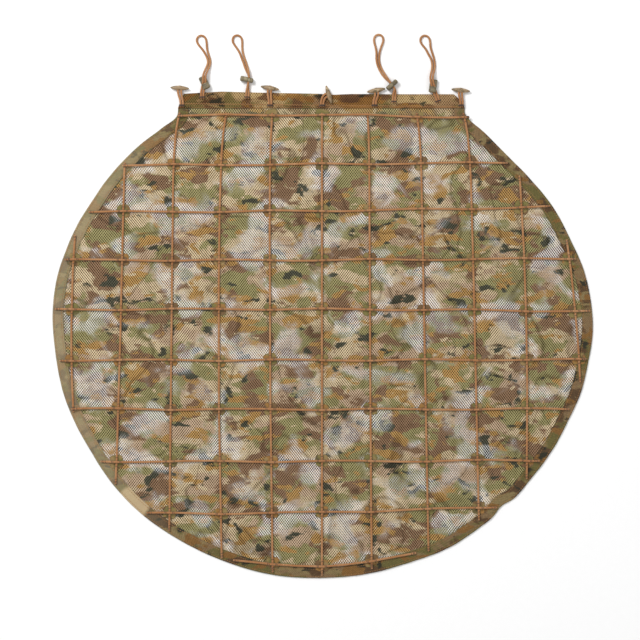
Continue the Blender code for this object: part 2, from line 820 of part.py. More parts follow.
def centre_on_footprint(builder):
    """Move the carrier so that the drape without its adjusters is centred on the origin."""
    bpy.context.view_layer.update()
    graph = bpy.context.evaluated_depsgraph_get()
    corners = []
    for obj in builder.pieces.objects:
        if obj.type == "EMPTY" or obj.name.startswith(("adjuster", "cord_lock")):
            continue
        mesh = obj.evaluated_get(graph).to_mesh()
        corners += [obj.matrix_world @ vert.co for vert in mesh.vertices]
        obj.evaluated_get(graph).to_mesh_clear()
    for axis in (0, 1):
        values = [corner[axis] for corner in corners]
        builder.carrier.location[axis] = -(min(values) + max(values)) / 2
    bpy.context.view_layer.update()


def main():
    """Build the drape."""
    clear_scene()
    builder = Builder()
    build_net(builder)
    build_folds(builder)
    build_cord_grid(builder)
    build_toggles(builder)
    build_toggle_loops(builder)
    build_adjusters(builder)
    centre_on_footprint(builder)


main()
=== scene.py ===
"""Dresses the mesh drape: printed net, rim tape, heading, cord grid, toggles and adjusters."""
import logging
import math
from dataclasses import dataclass, field
from enum import Enum
from typing import Callable, Mapping, Optional, Sequence, Union

import bmesh
import bpy
from mathutils import Matrix, Vector, noise
from mathutils.bvhtree import BVHTree


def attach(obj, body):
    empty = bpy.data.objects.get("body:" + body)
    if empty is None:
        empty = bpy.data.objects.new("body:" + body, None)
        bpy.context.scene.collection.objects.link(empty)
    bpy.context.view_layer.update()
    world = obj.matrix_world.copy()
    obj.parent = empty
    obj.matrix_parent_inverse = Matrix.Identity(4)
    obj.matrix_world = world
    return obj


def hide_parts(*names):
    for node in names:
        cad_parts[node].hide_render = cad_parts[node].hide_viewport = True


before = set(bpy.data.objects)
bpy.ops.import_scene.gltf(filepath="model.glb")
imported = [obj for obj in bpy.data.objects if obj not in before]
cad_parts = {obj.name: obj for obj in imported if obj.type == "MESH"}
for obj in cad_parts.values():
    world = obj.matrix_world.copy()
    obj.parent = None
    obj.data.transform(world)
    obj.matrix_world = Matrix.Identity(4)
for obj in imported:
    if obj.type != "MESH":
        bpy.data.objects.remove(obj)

LOG = logging.getLogger("drape")
MM = 0.001
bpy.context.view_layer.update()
SHIFT = Vector((0.495, -0.894, 0.0))     # from the drafting origin to the frame's, in mm

UP = Vector((0.0, 0.0, 1.0))

CLOTH = 1.0                              # thickness of one layer of net
FOLD_HEIGHT = 3.6                        # top of the heading and of the folded tape
HEADING_FOOT = 414.3                     # y of the heading's lower edge
CORD_RADIUS = 2.0
CLEARANCE = 0.3                          # free height under a cord
THREAD_SIDES = 5
BAR_PITCH = 0.85                         # distance between the threads of a bar tack
BAR_THREAD = 0.48
TOGGLE_SIDES = 24
LOCK_SIDES = 28

RIM = (
    (-268, 414), (-268.5, 405), (-298, 378), (-335, 350), (-368, 319), (-401, 281),
    (-429, 240), (-455, 198), (-475, 153), (-490, 109), (-498, 65), (-500, 20),
    (-496, -28), (-478, -119), (-457, -170), (-428, -222), (-394, -274), (-335, -336),
    (-265, -384), (-185, -422), (-94, -448), (-10, -454), (89, -445), (161, -425),
    (231, -399), (288, -362), (316, -339), (328, -323), (352, -308), (381, -275),
    (422, -221), (455, -160), (477, -111), (490, -58), (499, 5), (495, 60),
    (481, 119), (457, 173), (426, 231), (385, 282), (335, 333), (296, 372),
    (268, 397), (262.5, 405), (262, 414),
)
HEADING_TOP = (
    (-268, 415.3), (-266, 421), (-257, 441.5), (-187, 445.5), (-117, 443.5), (-10, 441.5),
    (20, 439.5), (52, 441), (140, 440.5), (242, 440.5), (257, 427), (262, 415.3),
)

Colour = tuple[float, float, float, float]


def srgb(red: int, green: int, blue: int) -> Colour:
    """Linear colour of an 8-bit display colour.

    Args:
        red: Red, 0 to 255.
        green: Green, 0 to 255.
        blue: Blue, 0 to 255.

    Returns:
        The linear colour with full alpha.
    """
    def linear(channel: int) -> float:
        """Linear value of one 8-bit channel."""
        share = channel / 255
        return share / 12.92 if share <= 0.04045 else ((share + 0.055) / 1.055) ** 2.4

    return linear(red), linear(green), linear(blue), 1.0


class Slot(Enum):
    """Material slots of the record."""

    NET = "net"
    TAPE = "tape"
    CORD = "cord"
    TOGGLE = "toggle"
    LOCK = "lock"


class Run(Enum):
    """Which way a cord of the grid runs, with its axis."""

    UPRIGHT = 1
    LEVEL = 0


# Lines

def even(line: Sequence[Vector], step: float) -> list[Vector]:
    """Points at even distances along a line.

    Args:
        line: The line's points.
        step: Distance wanted between the new points.

    Returns:
        The new points, with both ends kept.
    """
    total = sum((b - a).length for a, b in zip(line, line[1:]))
    pieces = max(1, round(total / step))
    wanted = total / pieces
    made = [line[0].copy()]
    run = 0.0
    for a, b in zip(line, line[1:]):
        length = (b - a).length
        while len(made) < pieces and run + length >= wanted * len(made):
            made.append(a.lerp(b, (wanted * len(made) - run) / length))
        run += length
    made.append(line[-1].copy())
    return made


def smooth(points: Sequence[Vector], step: float) -> list[Vector]:
    """Points at even steps on the smooth curve through the given ones.

    Args:
        points: Points that the curve passes through.
        step: Distance wanted between the new points.

    Returns:
        The new points.
    """
    spans = [(b - a).length for a, b in zip(points, points[1:])]
    slopes = [(b - a) / span for a, b, span in zip(points, points[1:], spans)]
    tangents = [slopes[0]]
    for before, after, slope, onward in zip(spans, spans[1:], slopes, slopes[1:]):
        share = after / (before + after)
        tangents.append(slope * share + onward * (1 - share))
    tangents.append(slopes[-1])
    fine = [points[0]]
    for i, span in enumerate(spans):
        lead = points[i] + tangents[i] * (span / 3)
        trail = points[i + 1] - tangents[i + 1] * (span / 3)
        for k in range(1, 17):
            t = k / 16
            u = 1 - t
            fine.append(points[i] * u ** 3 + lead * (3 * u * u * t)
                        + trail * (3 * u * t * t) + points[i + 1] * t ** 3)
    return even(fine, step)


def ease(value: float) -> float:
    """A smooth step from 0 to 1."""
    value = min(1.0, max(0.0, value))
    return value * value * (3 - 2 * value)


def lengths(line: Sequence[Vector]) -> list[float]:
    """Distance along a line at each of its points."""
    run = [0.0]
    for a, b in zip(line, line[1:]):
        run.append(run[-1] + (b - a).length)
    return run


def tangent(line: Sequence[Vector], index: int) -> Vector:
    """Direction of a line at one of its points."""
    return (line[min(index + 1, len(line) - 1)] - line[max(index - 1, 0)]).normalized()


def at_value(line: Sequence[Vector], axis: int, value: float) -> Vector:
    """Point of a line where one of its coordinates has a value.

    Args:
        line: A line along which that coordinate grows.
        axis: Which coordinate.
        value: The value wanted.

    Returns:
        The point between the two neighbours, or the nearer end.
    """
    for a, b in zip(line, line[1:]):
        if a[axis] <= value <= b[axis]:
            return a.lerp(b, (value - a[axis]) / max(1e-9, b[axis] - a[axis]))
    return (line[0] if value < line[0][axis] else line[-1]).copy()


def shares(count: int) -> list[float]:
    """Even shares from 0 to 1, with both ends."""
    return [k / count for k in range(count + 1)]


def circle(count: int) -> list[tuple[float, float]]:
    """Cosine and sine at even steps round a full turn."""
    turns = [math.tau * k / count for k in range(count)]
    return [(math.cos(turn), math.sin(turn)) for turn in turns]


def oval(count: int, power: float) -> list[tuple[float, float]]:
    """Points round a rounded square of half width 1.

    Args:
        count: Number of points.
        power: 2 for a circle, and more for a squarer form.

    Returns:
        The two coordinates of each point.
    """
    made = []
    for cosine, sine in circle(count):
        reach = (abs(cosine) ** power + abs(sine) ** power) ** (-1 / power)
        made.append((cosine * reach, sine * reach))
    return made


def seat(x: float, y: float, z: float, turn: float) -> Matrix:
    """Place of a piece, with its turn in degrees about the vertical."""
    return Matrix.Translation((x, y, z)) @ Matrix.Rotation(math.radians(turn), 4, "Z")


def placed(point: Vector) -> Vector:
    """A drafting point in mm as a point of the frame in metres."""
    return (Vector(point) + SHIFT) * MM


def drafted(point: Vector) -> Vector:
    """A point of the frame in metres as a drafting point in mm."""
    return Vector(point) / MM - SHIFT


# Meshes

@dataclass
class Shape:
    """Points, faces and corner UVs of one piece, in drafting millimetres."""

    points: list[Vector] = field(default_factory=list)
    faces: list[tuple[int, ...]] = field(default_factory=list)
    corners: list[tuple[tuple[float, float], ...]] = field(default_factory=list)

    def add_rings(self, rings: Sequence[Sequence[Vector]], along: Sequence[float],
                  around: Sequence[float], closed: bool = True, capped: bool = True) -> None:
        """Join a row of rings, or of open rows, with quads.

        Args:
            rings: Rings of equally many points.
            along: First UV value of each ring.
            around: Second UV value of each point, and of the join where rings are closed.
            closed: Whether each ring closes on itself.
            capped: Whether the first and last rings get a face.
        """
        start, count = len(self.points), len(rings[0])
        for ring in rings:
            self.points.extend(ring)
        for i in range(len(rings) - 1):
            for k in range(count if closed else count - 1):
                a, b = start + i * count + k, start + i * count + (k + 1) % count
                self.faces.append((a, b, b + count, a + count))
                self.corners.append(((along[i], around[k]), (along[i], around[k + 1]),
                                     (along[i + 1], around[k + 1]), (along[i + 1], around[k])))
        if closed and capped:
            last = start + (len(rings) - 1) * count
            for first, value in ((start, along[0]), (last, along[-1])):
                self.faces.append(tuple(range(first, first + count)))
                self.corners.append(tuple((value, around[k]) for k in range(count)))

    def add_tube(self, line: Sequence[Vector], radius: float, sides: int = 10,
                 ends: float = 0.55) -> None:
        """Sweep a round section along a line.

        Args:
            line: The middle line.
            radius: Radius of the section.
            sides: Number of its sides.
            ends: Size of the end rings against the others.
        """
        up = UP
        if abs(tangent(line, 0).dot(up)) > 0.9:
            up = Vector((1.0, 0.0, 0.0))
        section = circle(sides)
        rings = []
        for i, point in enumerate(line):
            onward = tangent(line, i)
            side = onward.cross(up).normalized()
            up = side.cross(onward).normalized()
            size = radius * (ends if i in (0, len(line) - 1) else 1.0)
            rings.append([point + (side * cosine + up * sine) * size for cosine, sine in section])
        self.add_rings(rings, lengths(line), shares(sides))

    def add_stitch(self, middle: Vector, along: Vector, length: float, width: float,
                   rise: float = 0.5) -> None:
        """Lay one stitch: a low thread that dives into the cloth at both ends.

        Args:
            middle: Middle of the stitch on the cloth.
            along: Its direction.
            length: Its length.
            width: Width of the thread.
            rise: Height of the thread's middle over the cloth.
        """
        along = along.normalized()
        side = Vector((-along.y, along.x, 0.0)).normalized() * (width / 2)
        lift = UP * rise
        rings = []
        for share, size in ((-0.5, 0.35), (-0.28, 0.95), (0.28, 0.95), (0.5, 0.35)):
            centre = middle + along * (length * share) + lift * (size - 0.55)
            rings.append([centre - side * size, centre + lift * size * 0.5,
                          centre + side * size, centre - lift * size * 0.3])
        self.add_rings(rings, range(4), shares(4))

    def piece(self, name: str, material: bpy.types.Material, slot: Slot,
              outward: bool = True) -> bpy.types.Object:
        """Make the object, dress it and let it ride on the body.

        Args:
            name: Name of the piece.
            material: Its material.
            slot: The record's slot that its finish follows; not used.
            outward: Whether the faces of the closed mesh are turned outwards.

        Returns:
            The new object.
        """
        mesh = bpy.data.meshes.new(name)
        mesh.from_pydata([placed(point) for point in self.points], [], self.faces)
        layer = mesh.uv_layers.new(name="Cut")
        for polygon, corners in zip(mesh.polygons, self.corners):
            for loop, corner in zip(polygon.loop_indices, corners):
                layer.data[loop].uv = (corner[0] * MM, corner[1])
        if outward:
            work = bmesh.new()
            work.from_mesh(mesh)
            bmesh.ops.recalc_face_normals(work, faces=work.faces)
            work.to_mesh(mesh)
            work.free()
        mesh.polygons.foreach_set("use_smooth", [True] * len(mesh.polygons))
        mesh.materials.append(material)
        piece = bpy.data.objects.new(name, mesh)
        bpy.context.scene.collection.objects.link(piece)
        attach(piece, "root")
        LOG.info("%s: %d faces", name, len(mesh.polygons))
        return piece


class Lay:
    """Height of the surface that small pieces lie on, read from the solids."""

    above: float = 60.0                      # where the looks down start, in mm

    def __init__(self, *nodes: str) -> None:
        """Args:
            nodes: Names of the solids.
        """
        self.trees = []
        for name in nodes:
            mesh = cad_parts[name].data
            self.trees.append(BVHTree.FromPolygons([vertex.co for vertex in mesh.vertices],
                                                   [face.vertices[:] for face in mesh.polygons]))

    def height(self, x: float, y: float) -> Optional[float]:
        """Height in mm at a drafting place, or None beside the solids."""
        start = placed(Vector((x, y, self.above)))
        hits = [tree.ray_cast(start, -UP)[0] for tree in self.trees]
        found = [hit.z / MM for hit in hits if hit is not None]
        return max(found) if found else None


# Shader graphs

def arithmetic(operation: str, swapped: bool = False) -> Callable[..., "Value"]:
    """An operator of a value that adds one Math node.

    Args:
        operation: The node's operation.
        swapped: Whether the value is the second operand.

    Returns:
        The operator's method.
    """
    def method(value: "Value", other: Union["Value", float]) -> "Value":
        """Add the node for the value and one other."""
        pair = (other, value) if swapped else (value, other)
        return value.math(operation, *pair)

    return method


class Value:
    """A node's output socket, on which arithmetic adds Math nodes."""

    def __init__(self, graph: "Graph", socket: bpy.types.NodeSocket) -> None:
        """Wrap a socket of a graph."""
        self.graph = graph
        self.socket = socket

    def math(self, operation: str, *operands: Union["Value", float]) -> "Value":
        """Add a Math node with these inputs, and return its output."""
        return self.graph.node("ShaderNodeMath", {"operation": operation},
                               dict(enumerate(operands)))

    __add__ = __radd__ = arithmetic("ADD")
    __mul__ = __rmul__ = arithmetic("MULTIPLY")
    __sub__ = arithmetic("SUBTRACT")
    __rsub__ = arithmetic("SUBTRACT", swapped=True)
    __truediv__ = arithmetic("DIVIDE")
    __pow__ = arithmetic("POWER")

    def __abs__(self) -> "Value":
        """The value without its sign."""
        return self.math("ABSOLUTE", self)

    def wave(self) -> "Value":
        """The value's sine."""
        return self.math("SINE", self)

    def step(self, low: float, high: float) -> "Value":
        """A smooth step from 0 at low to 1 at high."""
        return self.graph.node("ShaderNodeMapRange", {"interpolation_type": "SMOOTHSTEP"},
                               {"Value": self, "From Min": low, "From Max": high})


Input = Union[Value, float, Sequence[float]]


class Graph:
    """The node graph of one material, around a Principled shader."""

    def __init__(self, name: str, **constants: float) -> None:
        """Start a material.

        Args:
            name: The material's name.
            constants: Shader sockets that are the same all over, with _ for a space.
        """
        self.material = bpy.data.materials.new(name)
        self.material.use_nodes = True
        self.tree = self.material.node_tree
        self.shader = self.tree.nodes["Principled BSDF"]
        for key, value in constants.items():
            self.shader.inputs[key.replace("_", " ")].default_value = value

    def node(self, kind: str, settings: Optional[Mapping[str, object]] = None,
             inputs: Optional[Mapping[Union[int, str], Input]] = None,
             output: Union[int, str] = 0) -> Value:
        """Add a node.

        Args:
            kind: The node's type.
            settings: Its properties, set first.
            inputs: Values or links of its sockets.
            output: Which output to return.

        Returns:
            That output.
        """
        made = self.tree.nodes.new(kind)
        for key, value in (settings or {}).items():
            setattr(made, key, value)
        for key, value in (inputs or {}).items():
            if isinstance(value, Value):
                self.tree.links.new(value.socket, made.inputs[key])
            else:
                made.inputs[key].default_value = value
        return Value(self, made.outputs[output])

    def feed(self, **sockets: Value) -> bpy.types.Material:
        """Link values to the shader's sockets, named with _ for a space.

        Args:
            sockets: The values.

        Returns:
            The finished material.
        """
        for key, value in sockets.items():
            self.tree.links.new(value.socket, self.shader.inputs[key.replace("_", " ")])
        return self.material

    def place(self) -> Value:
        """Where a point lies on the drape, in metres."""
        return self.node("ShaderNodeTexCoord", output="Object")

    def cut(self) -> Value:
        """The piece's own UV map."""
        return self.node("ShaderNodeUVMap", {"uv_map": "Cut"})

    def axis(self, vector: Value, name: str) -> Value:
        """One coordinate, X, Y or Z, of a vector."""
        return self.node("ShaderNodeSeparateXYZ", inputs={0: vector}, output=name)

    def moved(self, vector: Value, offset: Sequence[float],
              scale: Sequence[float] = (1.0, 1.0, 1.0)) -> Value:
        """A vector scaled and then moved by an offset."""
        return self.node("ShaderNodeVectorMath", {"operation": "MULTIPLY_ADD"},
                         {0: vector, 1: scale, 2: offset})

    def weave(self, place: Value, rate: float) -> Value:
        """A plain weave, from -1 to 1, with a rate in radians to a metre."""
        return (self.axis(place, "X") * rate).wave() * (self.axis(place, "Y") * rate).wave()

    def cloud(self, vector: Value, scale: float, detail: float = 2.0,
              distortion: float = 0.0) -> Value:
        """Soft noise from 0 to 1, with a scale in patches to a unit."""
        return self.node("ShaderNodeTexNoise", inputs={
            "Vector": vector, "Scale": scale, "Detail": detail, "Distortion": distortion})

    def blend(self, share: Union[Value, float], low: Input, high: Input) -> Value:
        """A colour between two others, from share 0 for low to 1 for high."""
        return self.node("ShaderNodeMix", {"data_type": "RGBA"},
                         {0: share, 6: low, 7: high}, output=2)

    def shade(self, share: Union[Value, float], colour: Input, tint: Input) -> Value:
        """A colour multiplied by a tint, by a share."""
        return self.node("ShaderNodeMix", {"data_type": "RGBA", "blend_type": "MULTIPLY"},
                         {0: share, 6: colour, 7: tint}, output=2)

    def bump(self, height: Value, distance: float, strength: float = 1.0) -> Value:
        """A normal from a height of 0 to 1, whose full depth is given in metres."""
        return self.node("ShaderNodeBump", inputs={
            "Height": height, "Distance": distance, "Strength": strength})


# Finishes

@dataclass(frozen=True)
class BlotchPrint:
    """A plain woodland print of blotches in six colours."""

    sand: Colour = srgb(224, 202, 164)
    olive: Colour = srgb(166, 158, 108)
    brown: Colour = srgb(150, 118, 90)
    ochre: Colour = srgb(196, 154, 92)
    pink: Colour = srgb(206, 178, 148)
    dark: Colour = srgb(84, 84, 68)
    edge: float = 0.03

    def paint(self, graph: Graph, place: Value) -> Value:
        """Colour of the print.

        Args:
            graph: The material's graph.
            place: Where it is read, in metres.

        Returns:
            The colour.
        """
        colour: Input = self.sand
        layers = (
            # colour, patches to a metre, squeeze, place, where it starts
            (self.pink, 11.0, 1.5, 3.1, 0.52),
            (self.olive, 14.0, 1.6, 11.7, 0.50),
            (self.brown, 19.0, 1.6, 27.3, 0.56),
            (self.ochre, 23.0, 1.8, 41.9, 0.58),
            (self.dark, 29.0, 1.5, 60.2, 0.63),
            (self.sand, 33.0, 1.8, 77.7, 0.665),
        )
        for tone, scale, squeeze, offset, start in layers:
            spot = graph.moved(place, (offset, offset * 0.7, offset * 0.3), (1.0, squeeze, 1.0))
            patch = graph.cloud(spot, scale, 3.0, 0.3).step(start - self.edge, start + self.edge)
            colour = graph.blend(patch, colour, tone)
        return colour


@dataclass(frozen=True)
class NetFinish:
    """The panel's knitted net, open in patches and drawn close elsewhere."""

    name: str = "printed_net"
    pitch: float = 0.0045
    rows: float = 0.0029
    lean: float = 0.3                            # how far one slant of yarn outweighs the other
    openness: float = 0.92
    head: tuple[float, float] = (0.396, 0.404)   # where the denser strip under the heading starts
    relief: float = 0.0004
    colours: BlotchPrint = BlotchPrint()

    def printed(self) -> tuple[Graph, Value, Value]:
        """Start the material.

        Returns:
            Its graph, where a point lies, and the colour of the printed yarns.
        """
        graph = Graph(self.name, Roughness=0.9, Sheen_Weight=0.1, Sheen_Roughness=0.5,
                      Specular_IOR_Level=0.2)
        place = graph.place()
        yarn = graph.cloud(graph.moved(place, (5.0, 9.0, 0.0)), 60.0, 4.0)
        colour = graph.shade(yarn.step(0.35, 0.7) * 0.4, self.colours.paint(graph, place),
                             srgb(196, 190, 178))
        return graph, place, colour

    def lattice(self, graph: Graph, place: Value) -> Value:
        """Staggered meshes: 1 in the middle of a hole and -1 between the holes, where the yarns
        cross and the net's painted shadow dots go.

        Args:
            graph: The material's graph.
            place: Where it is read, in metres.

        Returns:
            The lattice.
        """
        drift = graph.cloud(place, 7.0, 0.0) * 0.9
        across = graph.axis(place, "X") / self.pitch + drift
        row = graph.axis(place, "Y") / (2.0 * self.rows)
        left = ((across + row) * math.tau).wave()
        right = ((across - row) * math.tau).wave()
        tilt = graph.cloud(graph.moved(place, (7.0, 3.0, 0.0)), 17.0, 1.0)
        share = (tilt.step(0.36, 0.64) - 0.5) * self.lean + 0.5
        return left * share + right * (1.0 - share)

    def opened(self, graph: Graph, place: Value, head: Value) -> Value:
        """How open the net lies.

        Args:
            graph: The material's graph.
            place: Where it is read, in metres.
            head: 1 in the strip under the heading, where it lies closer.

        Returns:
            0 for closed to 1 for open.
        """
        spot = graph.moved(place, (31.0, 2.0, 0.0), (1.0, 1.2, 1.0))
        patch = graph.cloud(spot, 13.0, 3.0, 0.3)
        return patch.step(0.49, 0.59) * self.openness * (1.0 - head * 0.85)

    def crease_shade(self, graph: Graph, place: Value) -> Value:
        """Painted crease shade: soft dark lines where pressed creases would be shaded, 1 along
        them and 0 beside them.
        """
        spot = graph.moved(place, (3.0, 17.0, 0.0), (1.0, 0.8, 1.0))
        return 1.0 - abs(graph.cloud(spot, 6.0, 2.0, 0.6) - 0.5).step(0.0, 0.014)

    def material(self) -> bpy.types.Material:
        """Make the material."""
        graph, place, colour = self.printed()
        mesh = self.lattice(graph, place)
        gap = mesh.step(-0.08, 0.25)
        # painted shadow: near-black dots between the holes, strongest where the net lies open
        shadow_dot = (0.0 - mesh).step(0.0, 0.7)
        head = graph.axis(place, "Y").step(*self.head)
        opened = self.opened(graph, place, head)
        colour = graph.blend(head * 0.35, colour, srgb(186, 170, 124))
        # painted shade along the creases
        colour = graph.shade(self.crease_shade(graph, place) * 0.5, colour, srgb(132, 118, 92))
        # paint the shadow dots between the holes
        colour = graph.shade(shadow_dot * (opened * 0.95 + 0.05), colour, srgb(34, 32, 26))
        # painted shade: where the net lies closed, its holes are painted dark instead of cut open
        colour = graph.shade(gap * (1.0 - opened) * 0.95, colour, srgb(60, 52, 34))
        return graph.feed(Base_Color=colour, Alpha=1.0 - gap * opened,
                          Normal=graph.bump(1.0 - gap, self.relief, 0.5))


@dataclass(frozen=True)
class HeadingFinish(NetFinish):
    """The doubled net of the heading, which hides what lies under it."""

    name: str = "heading_net"
    lean: float = 0.15

    def material(self) -> bpy.types.Material:
        """Make the material."""
        graph, place, colour = self.printed()
        gap = self.lattice(graph, place).step(-0.1, 0.6)
        stain = graph.cloud(graph.moved(place, (1.0, 1.0, 0.0), (1.0, 3.0, 1.0)), 8.0, 2.0)
        # painted shade: the holes of the doubled net are painted dark instead of cut open
        colour = graph.shade(gap * 0.85, colour, srgb(62, 56, 44))
        colour = graph.shade(stain.step(0.35, 0.62) * 0.6, colour, srgb(150, 116, 84))
        colour = graph.shade(0.9, colour, srgb(206, 190, 158))
        return graph.feed(Base_Color=colour, Normal=graph.bump(1.0 - gap, self.relief, 0.8))


@dataclass(frozen=True)
class TapeFinish:
    """Printed woven tape, dense enough to hide what lies under it."""

    name: str = "printed_tape"
    tint: Colour = srgb(236, 226, 206)
    faded: tuple[float, float, float] = (-0.349, -0.314, 0.034)   # middle and reach of a worn spot
    pale_side: tuple[float, float] = (0.24, 0.42)                 # the tape pales to the left
    colours: BlotchPrint = BlotchPrint(
        sand=srgb(156, 142, 106), olive=srgb(122, 118, 72), brown=srgb(104, 82, 58),
        ochre=srgb(150, 114, 64), pink=srgb(150, 128, 100), dark=srgb(58, 58, 46))

    def paled(self, graph: Graph, place: Value, colour: Value) -> Value:
        """The colour with the worn spot and the paler side.

        Args:
            graph: The material's graph.
            place: Where it is read, in metres.
            colour: The colour so far.

        Returns:
            The new colour.
        """
        x, y = graph.axis(place, "X"), graph.axis(place, "Y")
        centre_x, centre_y, reach = self.faded
        away = ((x - centre_x) ** 2.0 + (y - centre_y) ** 2.0) ** 0.5
        worn = 1.0 - away.step(reach * 0.75, reach)
        colour = graph.blend(worn * 0.8, colour, srgb(200, 174, 134))
        side = (x * -1.0).step(*self.pale_side)
        return graph.blend(side * 0.3, colour, srgb(196, 182, 148))

    def material(self) -> bpy.types.Material:
        """Make the material."""
        graph = Graph(self.name, Roughness=0.88, Sheen_Weight=0.2, Specular_IOR_Level=0.3)
        place, cut = graph.place(), graph.cut()
        colour = self.colours.paint(graph, graph.moved(place, (2.4, 5.2, 0.0)))
        colour = graph.shade(1.0, colour, self.tint)
        slub = graph.cloud(place, 420.0, 3.0)
        twill = (graph.axis(cut, "X") * 1500.0 + graph.axis(cut, "Y") * 1500.0).wave() * 0.5 + 0.5
        colour = graph.shade(twill * 0.4, colour, srgb(142, 132, 108))
        colour = graph.shade(slub.step(0.3, 0.75) * 0.4, colour, srgb(150, 142, 124))
        normal = graph.bump(graph.weave(place, 5200.0) * 0.35 + slub, 0.0006, 0.7)
        return graph.feed(Base_Color=self.paled(graph, place, colour), Normal=normal)


@dataclass(frozen=True)
class CordFinish:
    """Round braided cord with a pale fleck."""

    name: str = "braided_cord"
    base: Colour = srgb(172, 118, 70)
    light: Colour = srgb(188, 138, 92)
    # painted shade for the braid's grooves
    groove_shade: Colour = srgb(128, 80, 46)
    plait: float = 0.0026

    def material(self) -> bpy.types.Material:
        """Make the material."""
        graph = Graph(self.name, Roughness=0.82, Sheen_Weight=0.25, Specular_IOR_Level=0.3)
        cut = graph.cut()
        along = graph.axis(cut, "X") / self.plait
        around = graph.axis(cut, "Y") * 4.0
        left = ((along + around) * math.tau).wave()
        right = ((along - around) * math.tau).wave()
        braid = left.math("MAXIMUM", left, right) * 0.5 + 0.5
        place = graph.place()
        worn = graph.cloud(place, 26.0, 3.0)
        fleck = graph.cloud(place, 340.0, 2.0)
        colour = graph.blend(worn.step(0.42, 0.68), self.base, self.light)
        # painted shade: darker in the valleys between the plaits
        colour = graph.blend((1.0 - braid) * 0.7, colour, self.groove_shade)
        colour = graph.blend(fleck.step(0.62, 0.7) * 0.4, colour, srgb(214, 172, 134))
        normal = graph.bump(braid, 0.0005, 0.9)
        return graph.feed(Base_Color=colour, Normal=normal)


@dataclass(frozen=True)
class PatchFinish:
    """Small squares of printed cloth under the crossings."""

    name: str = "crossing_patch"
    colours: BlotchPrint = BlotchPrint(
        sand=srgb(136, 118, 70), olive=srgb(118, 110, 60), brown=srgb(112, 86, 54),
        ochre=srgb(150, 110, 56), pink=srgb(148, 124, 80), dark=srgb(98, 88, 54))

    def material(self) -> bpy.types.Material:
        """Make the material."""
        graph = Graph(self.name, Roughness=0.9, Sheen_Weight=0.2)
        place = graph.place()
        spot = graph.moved(place, (8.1, 1.9, 0.0), (1.4, 1.2, 1.0))
        edge = graph.axis(graph.cut(), "Y").step(0.82, 1.0)
        colour = graph.shade(edge * 0.3, self.colours.paint(graph, spot), srgb(120, 104, 80))
        normal = graph.bump(graph.weave(place, 4200.0) * 0.5 + edge * 0.5, 0.0003, 0.7)
        return graph.feed(Base_Color=colour, Normal=normal)


@dataclass(frozen=True)
class ThreadFinish:
    """Twisted sewing thread."""

    name: str
    colour: Colour

    def material(self) -> bpy.types.Material:
        """Make the material."""
        graph = Graph(self.name, Roughness=0.7, Sheen_Weight=0.2)
        place = graph.place()
        twist = graph.cloud(place, 900.0, 2.0)
        colour = graph.shade(twist.step(0.35, 0.7) * 0.5, self.colour, srgb(170, 150, 120))
        return graph.feed(Base_Color=colour, Normal=graph.bump(twist, 0.0003, 0.6))


@dataclass(frozen=True)
class MouldedFinish:
    """Moulded nylon with a mottled print and a fine grain."""

    name: str
    base: Colour
    blot: Colour
    pale: Colour
    spots: float = 120.0
    gloss: float = 0.45

    def material(self) -> bpy.types.Material:
        """Make the material."""
        graph = Graph(self.name, Specular_IOR_Level=0.45, Coat_Roughness=0.35)
        place = graph.place()
        colour = graph.blend(graph.cloud(place, self.spots, 3.0, 0.4).step(0.5, 0.56),
                             self.base, self.blot)
        spot = graph.moved(place, (4.0, 6.0, 1.0), (1.0, 1.4, 1.0))
        colour = graph.blend(graph.cloud(spot, self.spots * 1.3, 2.0, 0.3).step(0.57, 0.63),
                             colour, self.pale)
        grain = graph.cloud(place, 1500.0, 2.0)
        rough = grain.step(0.2, 0.8) * 0.15 + self.gloss
        return graph.feed(Base_Color=colour, Roughness=rough,
                          Normal=graph.bump(grain, 0.0002, 0.35))


# The drape

RIM_LINE = smooth([Vector(corner) for corner in RIM], 12.0)


